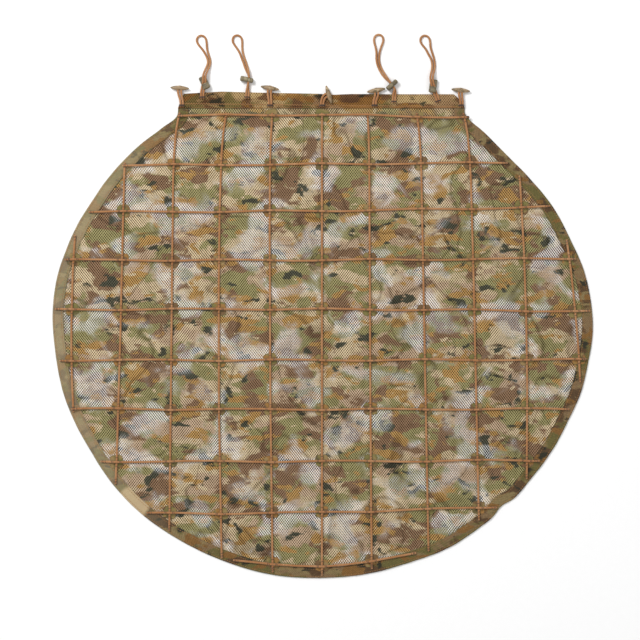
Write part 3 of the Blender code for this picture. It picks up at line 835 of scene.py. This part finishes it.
@dataclass
class NetCloth:
    """The printed net, cut in four along the two middle cords of the grid."""

    split: tuple[float, float] = (-2.0, -51.0)
    step: float = 5.0
    reach: float = 520.0
    skin: float = 0.6                        # how far it lies under the solid's top
    lowest: float = 0.25
    crease: float = 1.5
    beside_cord: float = 11.0                # the creases start this far from a cord
    fade: float = 8.0                        # and grow over this length
    free_height: float = 5.5                 # above it the net lies in a gathered fold
    under_heading: float = 12.0
    under_tape: float = 34.0
    lines: dict[Run, list[list[Vector]]] = field(default_factory=dict)

    def clear_of_cords(self, x: float, y: float) -> float:
        """How far a place is from the nearest cord of the grid, in mm."""
        best = 100.0
        for run, lines in self.lines.items():
            axis = run.value
            for line in lines:
                value = (x, y)[axis]
                if line[0][axis] - 12 < value < line[-1][axis] + 12:
                    best = min(best, abs(at_value(line, axis, value)[1 - axis] - (x, y)[1 - axis]))
        return best

    def relief(self, x: float, y: float) -> float:
        """Small creases that the solid leaves out, in mm."""
        slant = Vector((x * 0.8 + y * 0.6, (y * 0.8 - x * 0.6) * 0.4, 0.0))
        ridge = 1.0 - abs(noise.noise(slant / 17.0)) * 3.0
        swell = noise.noise(Vector((x, y, 40.0)) / 34.0)
        fine = noise.noise(Vector((x, y, 9.0)) / 11.0)
        return self.crease * (max(0.0, ridge) * 0.8 + max(0.0, swell) * 1.3 + 0.35 * fine)

    def heights(self, lay: Lay) -> dict[tuple[int, int], Vector]:
        """Points of the net on an even grid.

        Args:
            lay: The solid net.

        Returns:
            Points by column and row.
        """
        found: dict[tuple[int, int], Vector] = {}
        count = int(self.reach / self.step)
        for i in range(-count, count + 1):
            for j in range(-count, count + 1):
                x, y = self.split[0] + i * self.step, self.split[1] + j * self.step
                height = lay.height(x, y)
                if height is not None:
                    found[i, j] = Vector((x, y, height - self.skin))
        for _ in range(2):
            self.even_out(found)
        for point in found.values():
            if point.z < self.free_height and not self.under_fold(point):
                clear = self.clear_of_cords(point.x, point.y) - self.beside_cord
                lift = ease(clear / self.fade) * self.relief(point.x, point.y)
                point.z = max(self.lowest, point.z + lift)
        return found

    def even_out(self, found: Mapping[tuple[int, int], Vector]) -> None:
        """Ease the raised points towards the height of their neighbours."""
        eased = {}
        for (i, j), point in found.items():
            near = [found[key].z for key in ((i - 1, j), (i + 1, j), (i, j - 1), (i, j + 1))
                    if key in found]
            eased[i, j] = point.z * 0.5 + 0.5 * sum(near) / max(1, len(near))
        for key, height in eased.items():
            if found[key].z > CLOTH + 0.05:
                found[key].z = height

    def under_fold(self, point: Vector) -> bool:
        """Whether a place of the net lies near or under a fold."""
        if point.y > HEADING_FOOT - self.under_heading:
            return True
        return any((point.xy - Vector(corner)).length < self.under_tape for corner in RIM_LINE)

    def quarter(self, found: Mapping[tuple[int, int], Vector], east: bool, north: bool) -> Shape:
        """One part of the net, on one side of each middle cord.

        Args:
            found: Points by column and row.
            east: Whether it lies right of the upright middle cord.
            north: Whether it lies above the level one.

        Returns:
            Its shape.
        """
        shape = Shape()
        number: dict[tuple[int, int], int] = {}
        for (i, j) in sorted(found):
            square = [(i, j), (i + 1, j), (i + 1, j + 1), (i, j + 1)]
            here = (i >= 0) == east and (j >= 0) == north
            if not here or any(key not in found for key in square):
                continue
            for key in square:
                if key not in number:
                    number[key] = len(shape.points)
                    shape.points.append(found[key])
            shape.faces.append(tuple(number[key] for key in square))
            shape.corners.append(tuple((found[key].x, found[key].y * MM) for key in square))
        return shape

    def build(self, material: bpy.types.Material) -> None:
        """Make the four parts of the net.

        Args:
            material: The net's material.
        """
        found = self.heights(Lay("net_panel"))
        sides = ((False, False), (True, False), (False, True), (True, True))
        for index, (east, north) in enumerate(sides):
            shape = self.quarter(found, east, north)
            piece = shape.piece(f"net_cloth_{index:02d}", material, Slot.NET, outward=False)
            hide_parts("net_panel")
            len(shape.faces) * (self.step * MM) ** 2


@dataclass
class RimTape:
    """Printed tape folded over the net's edge and sewn with two rows."""

    step: float = 4.0
    pucker: float = 0.5
    rows: tuple[float, float] = (3.4, 16.6)
    stitch_pitch: float = 4.4
    stitch: tuple[float, float] = (3.1, 0.8)
    profile: tuple[tuple[float, float], ...] = (
        (0.0, 1.7), (0.3, 2.7), (1.0, 3.3), (2.2, 3.6), (3.4, 3.3), (4.8, 3.6),
        (9.0, 3.75), (13.0, 3.65), (15.4, 3.6), (16.6, 3.3), (17.8, 3.6), (19.2, 3.4),
        (20.0, 2.7), (20.0, 0.3), (19.4, 0.0), (10.0, 0.0), (1.2, 0.0), (0.3, 0.6))

    def normals(self, line: Sequence[Vector]) -> list[Vector]:
        """Inward directions, evened out round the corners."""
        plain = [Vector((-tangent(line, i).y, tangent(line, i).x)) for i in range(len(line))]
        last = len(plain) - 2
        return [sum(plain[i - 2:i + 3], Vector((0.0, 0.0))).normalized() if 2 <= i < last
                else plain[i] for i in range(len(plain))]

    def ring(self, point: Vector, side: Vector, where: float) -> list[Vector]:
        """The puckered section of the tape at one place of the rim.

        Args:
            point: The place, on the outer edge.
            side: Inward direction.
            where: Distance along the rim.

        Returns:
            The section's points.
        """
        loose = 1.0 + 1.6 * ease((point.x - 60) / 200) * ease((-120 - point.y) / 150)
        sway = noise.noise(Vector((where / 24.0, 0.0, 8.0)))
        made = []
        for depth, height in self.profile:
            lift = 0.0
            if height > 2.0:
                wave = noise.noise(Vector((where / 13.0, depth / 16.0, 3.0)))
                lift = self.pucker * loose * wave * (1.4 if 4 < depth < 15 else 0.6)
            flat = point + side * (depth + sway * (0.7 if depth > 15 else 0.3) * loose)
            made.append(Vector((flat.x, flat.y, max(0.0, height + lift))))
        return made

    def build(self, material: bpy.types.Material, thread: bpy.types.Material) -> None:
        """Make the tape and its stitching.

        Args:
            material: The tape's material.
            thread: The thread's material.
        """
        line = smooth([Vector(corner) for corner in RIM], self.step)
        inward, run = self.normals(line), lengths(line)
        shape = Shape()
        shape.add_rings([self.ring(*place) for place in zip(line, inward, run)], run,
                        [depth * MM for depth, _ in self.profile] + [0.0])
        piece = shape.piece("rim_tape_cloth", material, Slot.TAPE)
        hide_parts("rim_tape")
        stitches = Shape()
        for depth in self.rows:
            row = even([point + side * depth for point, side in zip(line, inward)],
                       self.stitch_pitch)
            for a, b in zip(row, row[1:]):
                middle = ((a + b) / 2).to_3d() + UP * (FOLD_HEIGHT + 0.02)
                stitches.add_stitch(middle, (b - a).to_3d(), *self.stitch)
        stitches.piece("rim_stitching", thread, Slot.TAPE)


@dataclass
class Heading:
    """The doubled net along the top, sewn down with a zigzag and a straight row."""

    step: float = 5.0
    zigzag_ends: tuple[float, float] = (423.0, 416.8)    # its y at the left and at the right
    zigzag_pitch: float = 2.4
    zigzag_height: float = 3.2
    row_pitch: float = 4.2
    row_inset: float = 1.6

    def section(self, x: float) -> list[Vector]:
        """The heading's section at x, from its lower edge over the top and back."""
        tall = at_value([Vector(corner) for corner in HEADING_TOP], 0, x).y - HEADING_FOOT
        small = min(1.0, tall / 8.0)
        rows = [(0.0, 0.2), (0.0, 2.8), (0.6 * small, 3.45), (2.0 * small, FOLD_HEIGHT)]
        rows += [(2.0 * small + (tall - 4.0 * small) * share,
                  FOLD_HEIGHT + 0.35 * noise.noise(Vector((x / 15.0, share * 2.0, 1.0))))
                 for share in (0.2, 0.4, 0.6, 0.8)]
        rows += [(tall - 2.0 * small, FOLD_HEIGHT), (tall - 0.7 * small, 3.2), (tall, 1.8),
                 (tall - 0.6 * small, 0.4), (tall - 2.0 * small, 0.0), (0.6 * small, 0.0)]
        return [Vector((x, HEADING_FOOT + y, z)) for y, z in rows]

    def stitching(self, low: float, high: float) -> Shape:
        """The zigzag over the heading and the row along its lower edge.

        Args:
            low: x of the heading's left end.
            high: x of its right end.

        Returns:
            The stitches.
        """
        made = Shape()
        left, right = self.zigzag_ends
        for k in range(round((high - low - 10) / self.zigzag_pitch)):
            x = low + 5 + (k + 0.5) * self.zigzag_pitch
            y = left + (right - left) * (x - low) / (high - low)
            slant = self.zigzag_height if k % 2 else -self.zigzag_height
            made.add_stitch(Vector((x, y, FOLD_HEIGHT + 0.08)),
                            Vector((self.zigzag_pitch, slant, 0.0)), 4.0, 1.0)
        for k in range(round((high - low - 6) / self.row_pitch)):
            x = low + 3 + (k + 0.5) * self.row_pitch
            made.add_stitch(Vector((x, HEADING_FOOT + self.row_inset, FOLD_HEIGHT - 0.05)),
                            Vector((1.0, 0.0, 0.0)), 3.0, 0.7)
        return made

    def build(self, material: bpy.types.Material, thread: bpy.types.Material) -> None:
        """Make the heading and its stitching.

        Args:
            material: The doubled net's material.
            thread: The thread's material.
        """
        low, high = HEADING_TOP[0][0], HEADING_TOP[-1][0]
        count = round((high - low) / self.step)
        places = sorted({low + (high - low) * i / count for i in range(count + 1)}
                        | {corner[0] for corner in HEADING_TOP} | {-262.0, 250.0, 254.0})
        rings = [self.section(x) for x in places]
        shape = Shape()
        shape.add_rings(rings, places, [0.0] * (len(rings[0]) + 1))
        piece = shape.piece("heading_cloth", material, Slot.NET)
        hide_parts("heading_fold")
        self.stitching(low, high).piece("heading_stitching", thread, Slot.NET)


@dataclass
class CordGrid:
    """Cords sewn over the net, upright and level, with patches at their crossings."""

    uprights: int = 11
    levels: int = 10
    patch: float = 12.2                      # half width of a patch
    patch_lift: float = 0.14
    tack: float = 0.42                       # radius of a tack's thread
    end_tacks: tuple[float, ...] = (3.0, 5.0, 9.0)
    level_tacks: tuple[float, ...] = (-8.0, -5.6, 5.6, 8.0)
    upright_tacks: tuple[float, ...] = (-8.0, 8.0)
    lines: dict[Run, list[list[Vector]]] = field(default_factory=dict)
    crossings: list[tuple[int, int, Vector]] = field(default_factory=list)

    def middle_line(self, node: str, run: Run) -> list[Vector]:
        """Middle line of a cord's solid.

        Args:
            node: The solid's name.
            run: Which way it runs.

        Returns:
            Its points in drafting mm, along the axis.
        """
        axis = run.value
        points = sorted((drafted(vertex.co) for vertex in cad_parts[node].data.vertices),
                        key=lambda point: point[axis])
        groups = [[points[0]]]
        for before, point in zip(points, points[1:]):
            if point[axis] - before[axis] > 1.1:
                groups.append([])
            groups[-1].append(point)
        line = []
        for group in groups:
            lowest = Vector([min(point[k] for point in group) for k in range(3)])
            highest = Vector([max(point[k] for point in group) for k in range(3)])
            line.append((lowest + highest) / 2)
        return line

    def relaxed(self, line: Sequence[Vector]) -> list[Vector]:
        """A line at even steps with its corners eased."""
        made = even(line, 3.4)
        for _ in range(2):
            inner = [(a + b * 2 + c) / 4 for a, b, c in zip(made, made[1:], made[2:])]
            made = [made[0]] + inner + [made[-1]]
        return made

    def trace(self) -> None:
        """Read the middle lines and find where they cross."""
        for run, word, count in ((Run.UPRIGHT, "upright", self.uprights),
                                 (Run.LEVEL, "level", self.levels)):
            self.lines[run] = [self.relaxed(self.middle_line(f"{word}_cord_{i:02d}", run))
                               for i in range(count)]
        for row, level in enumerate(self.lines[Run.LEVEL]):
            for column, upright in enumerate(self.lines[Run.UPRIGHT]):
                spot = Vector((upright[len(upright) // 2].x, 0.0, 0.0))
                for _ in range(6):
                    spot.y = at_value(level, 0, spot.x).y
                    spot.x = at_value(upright, 1, spot.y).x
                inside = (level[0].x + 4 < spot.x < level[-1].x - 4
                          and upright[0].y + 4 < spot.y < upright[-1].y - 4)
                if inside:
                    self.crossings.append((row, column, spot))

    def wrap(self, shape: Shape, line: Sequence[Vector], axis: int, value: float) -> None:
        """Wind a thread once round a cord.

        Args:
            shape: Where the thread is added.
            line: The cord's middle line.
            axis: The coordinate that gives the place.
            value: Its value.
        """
        centre = at_value(line, axis, value)
        onward = (at_value(line, axis, value + 1.0) - at_value(line, axis, value - 1.0))
        if onward.length < 0.1:
            return
        onward.normalize()
        side = onward.cross(UP).normalized()
        up = side.cross(onward)
        arc = [centre + (side * math.cos(turn) + up * math.sin(turn)) * (CORD_RADIUS + 0.12)
               + onward * (0.5 * math.cos(turn))
               for turn in (math.pi * (k - 1) / 8 for k in range(11))]
        shape.add_tube(arc, self.tack, THREAD_SIDES, 0.8)

    def build(self, cord: bpy.types.Material, patch: bpy.types.Material,
              thread: bpy.types.Material) -> None:
        """Make the cords, the patches and the tacks.

        Args:
            cord: The cords' material.
            patch: The patches' material.
            thread: The tacks' material.
        """
        tacks = Shape()
        for run, word in ((Run.UPRIGHT, "upright"), (Run.LEVEL, "level")):
            for index, line in enumerate(self.lines[run]):
                shape = Shape()
                ends = [line[0], line[0].lerp(line[1], 0.35)] + line[1:-1]
                ends += [line[-1].lerp(line[-2], 0.35), line[-1]]
                shape.add_tube(ends, CORD_RADIUS, ends=0.6)
                piece = shape.piece(f"grid_{word}_{index:02d}", cord, Slot.CORD)
                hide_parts(f"{word}_cord_{index:02d}")
                axis = run.value
                for inset in self.end_tacks:
                    self.wrap(tacks, line, axis, line[0][axis] + inset)
                    self.wrap(tacks, line, axis, line[-1][axis] - inset)
        lay = Lay("net_panel", "rim_tape", "heading_fold")
        squares = Shape()
        for row, column, spot in self.crossings:
            level, upright = self.lines[Run.LEVEL][row], self.lines[Run.UPRIGHT][column]
            for offset in self.level_tacks:
                self.wrap(tacks, level, 0, spot.x + offset)
            for offset in self.upright_tacks:
                self.wrap(tacks, upright, 1, spot.y + offset)
            self.add_patch(squares, lay, spot, row * 11 + column)
        squares.piece("crossing_patches", patch, Slot.TAPE, outward=False)
        tacks.piece("cord_tacks", thread, Slot.CORD)

    def add_patch(self, shape: Shape, lay: Lay, spot: Vector, seed: int) -> None:
        """Lay one square patch on the net.

        Args:
            shape: Where it is added.
            lay: What it lies on.
            spot: Its middle.
            seed: Varies its turn and size.
        """
        vary = [noise.noise(Vector((seed * 1.37 + 0.5, k * 3.1 + 0.5, 0.5))) for k in range(3)]
        cosine, sine = math.cos(vary[0] * 0.5), math.sin(vary[0] * 0.5)
        wide, tall = self.patch * (1 + vary[1] * 0.16), self.patch * (0.94 + vary[2] * 0.16)
        start, edge, steps = len(shape.points), oval(24, 4.5), (0.3, 0.6, 0.85, 1.0)
        middle = (lay.height(spot.x, spot.y) or CLOTH) + self.patch_lift
        shape.points.append(Vector((spot.x, spot.y, middle)))
        for share in steps:
            for x, y in ((across * share * wide, up * share * tall) for across, up in edge):
                place = spot.xy + Vector((x * cosine - y * sine, x * sine + y * cosine))
                height = lay.height(place.x, place.y)
                while height is None:
                    place = place.lerp(spot.xy, 0.12)
                    height = lay.height(place.x, place.y)
                shape.points.append(Vector((place.x, place.y, height + self.patch_lift)))
        count = len(edge)
        for k in range(count):
            onward = (k + 1) % count
            shape.faces.append((start, start + 1 + k, start + 1 + onward))
            shape.corners.append(((0.0, 0.0), (0.0, steps[0]), (0.0, steps[0])))
        for i, (near, far) in enumerate(zip(steps, steps[1:])):
            for k in range(count):
                a = start + 1 + i * count + k
                b = start + 1 + i * count + (k + 1) % count
                shape.faces.append((a, a + count, b + count, b))
                shape.corners.append(((0.0, near), (0.0, far), (0.0, far), (0.0, near)))


def sew_down(shape: Shape, middle: Vector, along: Vector, half: float, length: float) -> None:
    """Sew two strands down on the heading with a bar of close threads.

    Args:
        shape: Where the threads are added.
        middle: Middle of the bar.
        along: Direction of the strands.
        half: Half the width over both strands.
        length: Length of the bar along the strands.
    """
    side = Vector((-along.y, along.x, 0.0)).normalized()
    count = round(length / BAR_PITCH)
    outline = ((half + 1.0, 0.1), (half + 0.2, 2.0), (half - 1.0, 4.1), (half - 2.2, 4.5))
    profile = [(-reach, high) for reach, high in outline] + list(outline[::-1])
    for k in range(count):
        centre = middle + along * (length * ((k + 0.5) / count - 0.5)) + UP * FOLD_HEIGHT
        arch = [centre + side * reach + UP * high for reach, high in profile]
        shape.add_tube(arch, BAR_THREAD, THREAD_SIDES, 0.8)


TOGGLES = (
    # x, y, z, turn in degrees, foot x, foot y
    (-264.6, 451.4, 5.9, -3.5, -261.0, 417.0),
    (-98.1, 451.4, 5.9, -9.7, -97.7, 417.0),
    (10.5, 439.0, 8.2, -74.0, -1.5, 417.0),
    (98.2, 447.2, 5.9, 10.3, 95.4, 417.0),
    (254.4, 447.2, 5.9, -6.4, 256.0, 417.0),
)


@dataclass
class Toggles:
    """Lens-shaped toggles on short sewn loops."""

    length: float = 34.5
    radius: float = 4.2
    spread: float = 3.05
    foot: float = 2.2
    depth: float = 1.7
    profile: tuple[tuple[float, float], ...] = (
        (0.0, 1.0), (0.12, 0.99), (0.25, 0.955), (0.38, 0.90), (0.5, 0.82), (0.63, 0.70),
        (0.75, 0.58), (0.86, 0.46), (0.94, 0.34), (0.98, 0.22), (1.0, 0.04))

    def route(self, row: tuple[float, ...]) -> list[Vector]:
        """Middle line of a toggle's loop, from one sewn end to the other.

        Args:
            row: The toggle's place, turn and foot.

        Returns:
            The line's points.
        """
        foot_x, foot_y = row[4:]
        place = seat(*row[:4])
        bend = self.depth - CLEARANCE - CORD_RADIUS - self.spread
        bight = [place @ Vector((-self.spread * math.cos(angle),
                                 bend + self.spread * math.sin(angle), 0.0))
                 for angle in (math.pi * i / 8 for i in range(9))]
        sewn = FOLD_HEIGHT + CLEARANCE + CORD_RADIUS
        halves = []
        for side, end in ((-1, bight[0]), (1, bight[-1])):
            foot = Vector((foot_x + side * self.foot, foot_y, sewn))
            near = place @ Vector((side * self.spread, bend - 1.2, 0.0))
            halves.append(smooth([foot, foot + Vector((0.0, 8.0, 0.0)), near, end], 3.0))
        return halves[0] + bight[1:-1] + halves[1][::-1]

    def body(self, place: Matrix) -> Shape:
        """The lens-shaped body with a seam, and the lug that its loop holds.

        Args:
            place: Its place and turn.

        Returns:
            Its shape.
        """
        shape = Shape()
        stations = [(-share, size) for share, size in self.profile[::-1]]
        stations += list(self.profile[1:])
        rings = []
        for share, size in stations:
            ring = []
            for cosine, sine in circle(TOGGLE_SIDES):
                seam = 1.0 + 0.035 * max(0.0, abs(cosine) - 0.985) / 0.015
                ring.append(place @ Vector((share * self.length / 2,
                                            cosine * size * self.radius * seam,
                                            sine * size * self.radius)))
            rings.append(ring)
        shape.add_rings(rings, [share * self.length / 2 for share, _ in stations],
                        shares(TOGGLE_SIDES))
        lug = [[place @ Vector((across, self.radius + out, up))
                for across, up in ((-wide, -1.1), (wide, -1.1), (wide, 1.1), (-wide, 1.1))]
               for out, wide in ((-1.2, 2.8), (0.0, 2.6), (0.35, 2.0))]
        shape.add_rings(lug, range(3), shares(4))
        return shape

    def build(self, moulded: bpy.types.Material, cord: bpy.types.Material,
              thread: bpy.types.Material) -> None:
        """Make the toggles, their loops and the bars that hold them.

        Args:
            moulded: The toggles' material.
            cord: The loops' material.
            thread: The bars' material.
        """
        bars = Shape()
        for index, row in enumerate(TOGGLES):
            body = self.body(seat(*row[:4]))
            piece = body.piece(f"toggle_body_{index:02d}", moulded, Slot.TOGGLE)
            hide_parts(f"toggle_{index:02d}")
            loop = Shape()
            loop.add_tube(self.route(row), CORD_RADIUS, ends=0.8)
            piece = loop.piece(f"toggle_cord_{index:02d}", cord, Slot.CORD)
            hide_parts(f"toggle_loop_{index:02d}")
            foot_x, foot_y = row[4:]
            sew_down(bars, Vector((foot_x, foot_y + 2.4, 0.0)), Vector((0.0, 1.0, 0.0)),
                     self.foot + CORD_RADIUS, 3.4)
        bars.piece("toggle_bars", thread, Slot.CORD)


Strands = list[tuple[float, ...]]


def strands(*rows: tuple[float, ...]) -> Strands:
    """Fill in a roll of 0 and a half spread of 2.2 where a row of a route lacks them."""
    return [row + (0, 2.2)[len(row) - 3:] for row in rows]


ADJUSTERS = (
    # x, y, z, roll in degrees and half spread of a loop's two strands
    strands(
        (-222.7, 432.0, 6.0), (-223.0, 442.0, 6.0), (-221.6, 451.0, 5.8), (-220.0, 457.0, 7.6),
        (-219.0, 462.0, 10.2), (-218.8, 467.0, 11.9), (-218.6, 474.0, 12.2), (-216.0, 482.5, 8.4),
        (-212.6, 491.0, 4.0), (-210.3, 500.0, 2.4), (-212.4, 509.0, 2.3, 0, 2.3),
        (-216.0, 518.0, 2.3, 0, 3.0),
    ),
    strands(
        (-139.9, 432.0, 6.1), (-139.6, 440.0, 6.4, 5), (-139.2, 446.0, 7.3, 32),
        (-138.8, 451.5, 6.8, 62), (-138.3, 458.0, 6.4, 85), (-137.6, 466.5, 6.4, 90),
        (-137.0, 474.0, 6.4, 95), (-139.0, 482.0, 5.4, 130), (-141.8, 490.0, 3.4, 165),
        (-145.0, 500.0, 2.4, 180, 2.3), (-148.4, 509.0, 2.3, 180, 2.5),
        (-151.3, 518.0, 2.3, 180, 3.0),
    ),
    strands(
        (130.6, 424.0, 6.1), (131.2, 433.0, 6.3, 4), (131.9, 441.0, 7.3, 28),
        (132.7, 446.0, 6.8, 58), (132.0, 450.8, 6.4, 85), (128.9, 455.8, 6.4, 90),
        (123.4, 462.4, 6.4, 95), (117.2, 469.6, 5.6, 125), (112.0, 476.8, 3.6, 160),
        (107.0, 485.4, 2.4, 180), (103.0, 495.0, 2.3, 180), (101.2, 506.0, 2.3, 180, 2.4),
        (101.8, 518.0, 2.3, 180, 3.0),
    ),
    strands(
        (213.5, 425.0, 6.0), (210.6, 434.0, 6.0), (207.0, 442.5, 5.8), (205.0, 448.5, 7.4),
        (203.2, 454.5, 10.3), (201.4, 459.8, 11.9), (200.2, 467.0, 12.2), (201.0, 475.5, 8.4),
        (203.2, 484.0, 4.0, 0, 2.3), (204.4, 493.0, 2.4, 0, 2.4), (203.0, 504.0, 2.3, 0, 2.6),
        (197.4, 518.0, 2.3, 0, 4.0),
    ),
)
LOOP_END = ((9.0, 5.0), (17.0, 7.6), (24.0, 8.6), (30.0, 6.1))   # reach and half width
LOOP_TIP = 32.6
LOCKS = (
    # x, y, axis in degrees, on edge
    (-218.9, 461.6, 115.0, False),
    (-140.6, 467.0, 168.3, True),
    (127.6, 457.0, 222.8, True),
    (203.3, 455.5, 82.0, False),
)


@dataclass
class Adjusters:
    """Adjusting loops of cord, each through a spring lock."""

    length: float = 24.0
    width: float = 13.8
    thickness: float = 9.4
    collar: tuple[float, float] = (7.0, 6.9)     # half width and half height
    profile: tuple[tuple[float, float], ...] = (
        (0.0, 0.50), (0.015, 0.62), (0.05, 0.86), (0.10, 0.91), (0.16, 0.92), (0.165, 0.86),
        (0.205, 0.86), (0.21, 0.92), (0.32, 0.92), (0.35, 0.86), (0.365, 0.80), (0.41, 0.80),
        (0.425, 0.92), (0.45, 0.99), (0.50, 1.0), (0.68, 1.0), (0.69, 0.965), (0.72, 0.965),
        (0.73, 1.0), (0.90, 1.0), (0.955, 0.97), (0.985, 0.88), (1.0, 0.72))
    collar_profile: tuple[tuple[float, float], ...] = (
        (-0.02, 0.72), (0.0, 0.88), (0.03, 0.97), (0.07, 1.0), (0.25, 1.0), (0.28, 0.93),
        (0.31, 0.93), (0.34, 1.0), (0.40, 0.98), (0.42, 0.86))

    def route(self, rows: Strands) -> list[Vector]:
        """Middle line of a loop: out along one strand and back along the other.

        Args:
            rows: Middle, height, roll and half spread of the two strands.

        Returns:
            The line's points.
        """
        centres = [Vector(row[:2]) for row in rows]
        out, back = [], []
        for i, (x, y, z, roll, spread) in enumerate(rows):
            along = tangent(centres, i)
            flat = math.cos(math.radians(roll))
            reach = Vector((-along.y * flat, along.x * flat, math.sin(math.radians(roll))))
            out.append(Vector((x, y, z)) + reach * spread)
            back.append(Vector((x, y, z)) - reach * spread)
        onward = (centres[-1] - centres[-2]).normalized().to_3d()
        side = Vector((-onward.y, onward.x, 0.0)) * math.cos(math.radians(rows[-1][3]))
        end = Vector(rows[-1][:3])
        out += [end + onward * reach + side * spread for reach, spread in LOOP_END]
        back += [end + onward * reach - side * spread for reach, spread in LOOP_END]
        return out + [end + onward * LOOP_TIP] + back[::-1]

    def add_barrel(self, shape: Shape, place: Matrix, profile: Sequence[tuple[float, float]],
                   power: float, half: tuple[float, float], rise: float = 0.0) -> None:
        """Add rounded rings along a lock's axis.

        Args:
            shape: Where they are added.
            place: The lock's place and turn.
            profile: Share of the length and size of each ring.
            power: How square the rings are.
            half: Half the width and half the height of a ring of size 1.
            rise: Height of the rings' middle over the axis.
        """
        rings = [[place @ Vector(((share - 0.5) * self.length, across * half[0] * size,
                                  up * half[1] * size + rise))
                  for across, up in oval(LOCK_SIDES, power)] for share, size in profile]
        shape.add_rings(rings, [share * self.length for share, _ in profile], shares(LOCK_SIDES))

    def lock(self, row: tuple[float, float, float, bool]) -> Shape:
        """One lock; one that lies flat has its plunger's collar over the strands.

        Args:
            row: Its place, the direction of its axis and whether it stands on edge.

        Returns:
            Its shape.
        """
        x, y, axis, on_edge = row
        half = (self.width / 2, self.thickness / 2)
        across, tall = half[::-1] if on_edge else half
        place = seat(x, y, tall, axis)
        shape = Shape()
        self.add_barrel(shape, place, self.profile, 2.8, (across, tall))
        if not on_edge:
            self.add_barrel(shape, place, self.collar_profile, 2.4, self.collar,
                            self.collar[1] + CLEARANCE - tall)
        return shape

    def build(self, cord: bpy.types.Material, moulded: bpy.types.Material,
              thread: bpy.types.Material) -> None:
        """Make the loops, the locks and the bars that hold the loops.

        Args:
            cord: The loops' material.
            moulded: The locks' material.
            thread: The bars' material.
        """
        bars = Shape()
        for index, (rows, row) in enumerate(zip(ADJUSTERS, LOCKS)):
            lock = self.lock(row).piece(f"lock_body_{index:02d}", moulded, Slot.LOCK)
            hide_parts(f"cord_lock_{index:02d}")
            line = smooth(self.route(rows), 3.0)
            shape = Shape()
            shape.add_tube(line, CORD_RADIUS, ends=0.8)
            loop = shape.piece(f"adjuster_loop_{index:02d}", cord, Slot.CORD)
            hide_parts(f"adjuster_cord_{index:02d}")
            lengths(line)[-1] * MM
            foot, onward = Vector((*rows[0][:2], 0.0)), Vector((*rows[1][:2], 0.0))
            along = (onward - foot).normalized()
            sew_down(bars, foot + along * 2.6, along, 2.2 + CORD_RADIUS, 2.6)
        bars.piece("adjuster_bars", thread, Slot.CORD)


@dataclass
class Studio:
    """Pale floor, soft light and a camera straight above."""

    eye: tuple[float, float, float] = (-0.00505, 0.0222, 3.289)
    lens: float = 100.0
    sensor: float = 36.0
    sky: float = 0.55
    ground: float = 6.0                      # half width of the floor
    ground_drop: float = 0.0001              # how far the floor lies under the drape

    def light(self, name: str, place: Vector, size: float, power: float) -> None:
        """Hang one soft lamp that looks at the drape.

        Args:
            name: Its name.
            place: Where it hangs.
            size: Its width.
            power: Its power in watts.
        """
        lamp = bpy.data.lights.new(name, "AREA")
        lamp.size = size
        lamp.energy = power
        holder = bpy.data.objects.new(name, lamp)
        holder.location = place
        holder.rotation_euler = (-place).to_track_quat("-Z", "Y").to_euler()
        bpy.context.scene.collection.objects.link(holder)

    def camera(self) -> None:
        """Put up the camera."""
        camera = bpy.data.cameras.new("camera")
        camera.lens = self.lens
        camera.sensor_width = self.sensor
        eye = bpy.data.objects.new("camera", camera)
        eye.location = self.eye
        bpy.context.scene.collection.objects.link(eye)
        bpy.context.scene.camera = eye

    def world(self) -> None:
        """Light the drape evenly from all round."""
        world = bpy.data.worlds.new("studio")
        world.use_nodes = True
        sky = world.node_tree.nodes["Background"].inputs
        sky["Color"].default_value = (1.0, 1.0, 1.0, 1.0)
        sky["Strength"].default_value = self.sky
        bpy.context.scene.world = world

    def floor(self) -> None:
        """Lay the pale floor."""
        graph = Graph("pale_floor", Roughness=0.8, Specular_IOR_Level=0.2)
        fleck = graph.cloud(graph.place(), 90.0, 2.0)
        shade = graph.blend(fleck, (0.93, 0.93, 0.93, 1.0), (0.95, 0.95, 0.95, 1.0))
        mesh = bpy.data.meshes.new("floor")
        corners = ((-1, -1), (1, -1), (1, 1), (-1, 1))
        mesh.from_pydata([(x * self.ground, y * self.ground, -self.ground_drop)
                          for x, y in corners], [], [(0, 1, 2, 3)])
        mesh.materials.append(graph.feed(Base_Color=shade))
        ground = bpy.data.objects.new("floor", mesh)
        bpy.context.scene.collection.objects.link(ground)

    def build(self) -> None:
        """Set up the camera, the lamps, the world and the floor."""
        scene = bpy.context.scene
        scene.view_settings.view_transform = "Standard"
        scene.cycles.denoising_prefilter = "NONE"    # keeps the net's fine meshes
        self.camera()
        self.light("key_lamp", Vector((-1.3, 1.5, 2.4)), 0.9, 62.0)
        self.light("fill_lamp", Vector((1.8, -1.0, 2.6)), 2.4, 22.0)
        self.world()
        self.floor()


def main() -> None:
    """Build the studio and each sub-assembly of the drape."""
    logging.basicConfig(level=logging.INFO, format="%(name)s %(message)s")
    Studio().build()
    cord = CordFinish().material()
    dark_thread = ThreadFinish("dark_thread", srgb(74, 54, 38)).material()
    ochre_thread = ThreadFinish("ochre_thread", srgb(176, 124, 66)).material()
    toggle = MouldedFinish("mottled_nylon", srgb(146, 122, 92), srgb(112, 94, 66),
                           srgb(172, 150, 116)).material()
    lock = MouldedFinish("lock_nylon", srgb(122, 110, 84), srgb(98, 88, 66),
                         srgb(140, 128, 100), 70.0, 0.5).material()
    Adjusters().build(cord, lock, dark_thread)
    Toggles().build(toggle, cord, dark_thread)
    grid = CordGrid()
    grid.trace()
    grid.build(cord, PatchFinish().material(), dark_thread)
    NetCloth(lines=grid.lines).build(NetFinish().material())
    RimTape().build(TapeFinish().material(), ochre_thread)
    Heading().build(HeadingFinish().material(), ochre_thread)
    LOG.info("crossings: %d", len(grid.crossings))


if __name__ == "__main__":
    main()
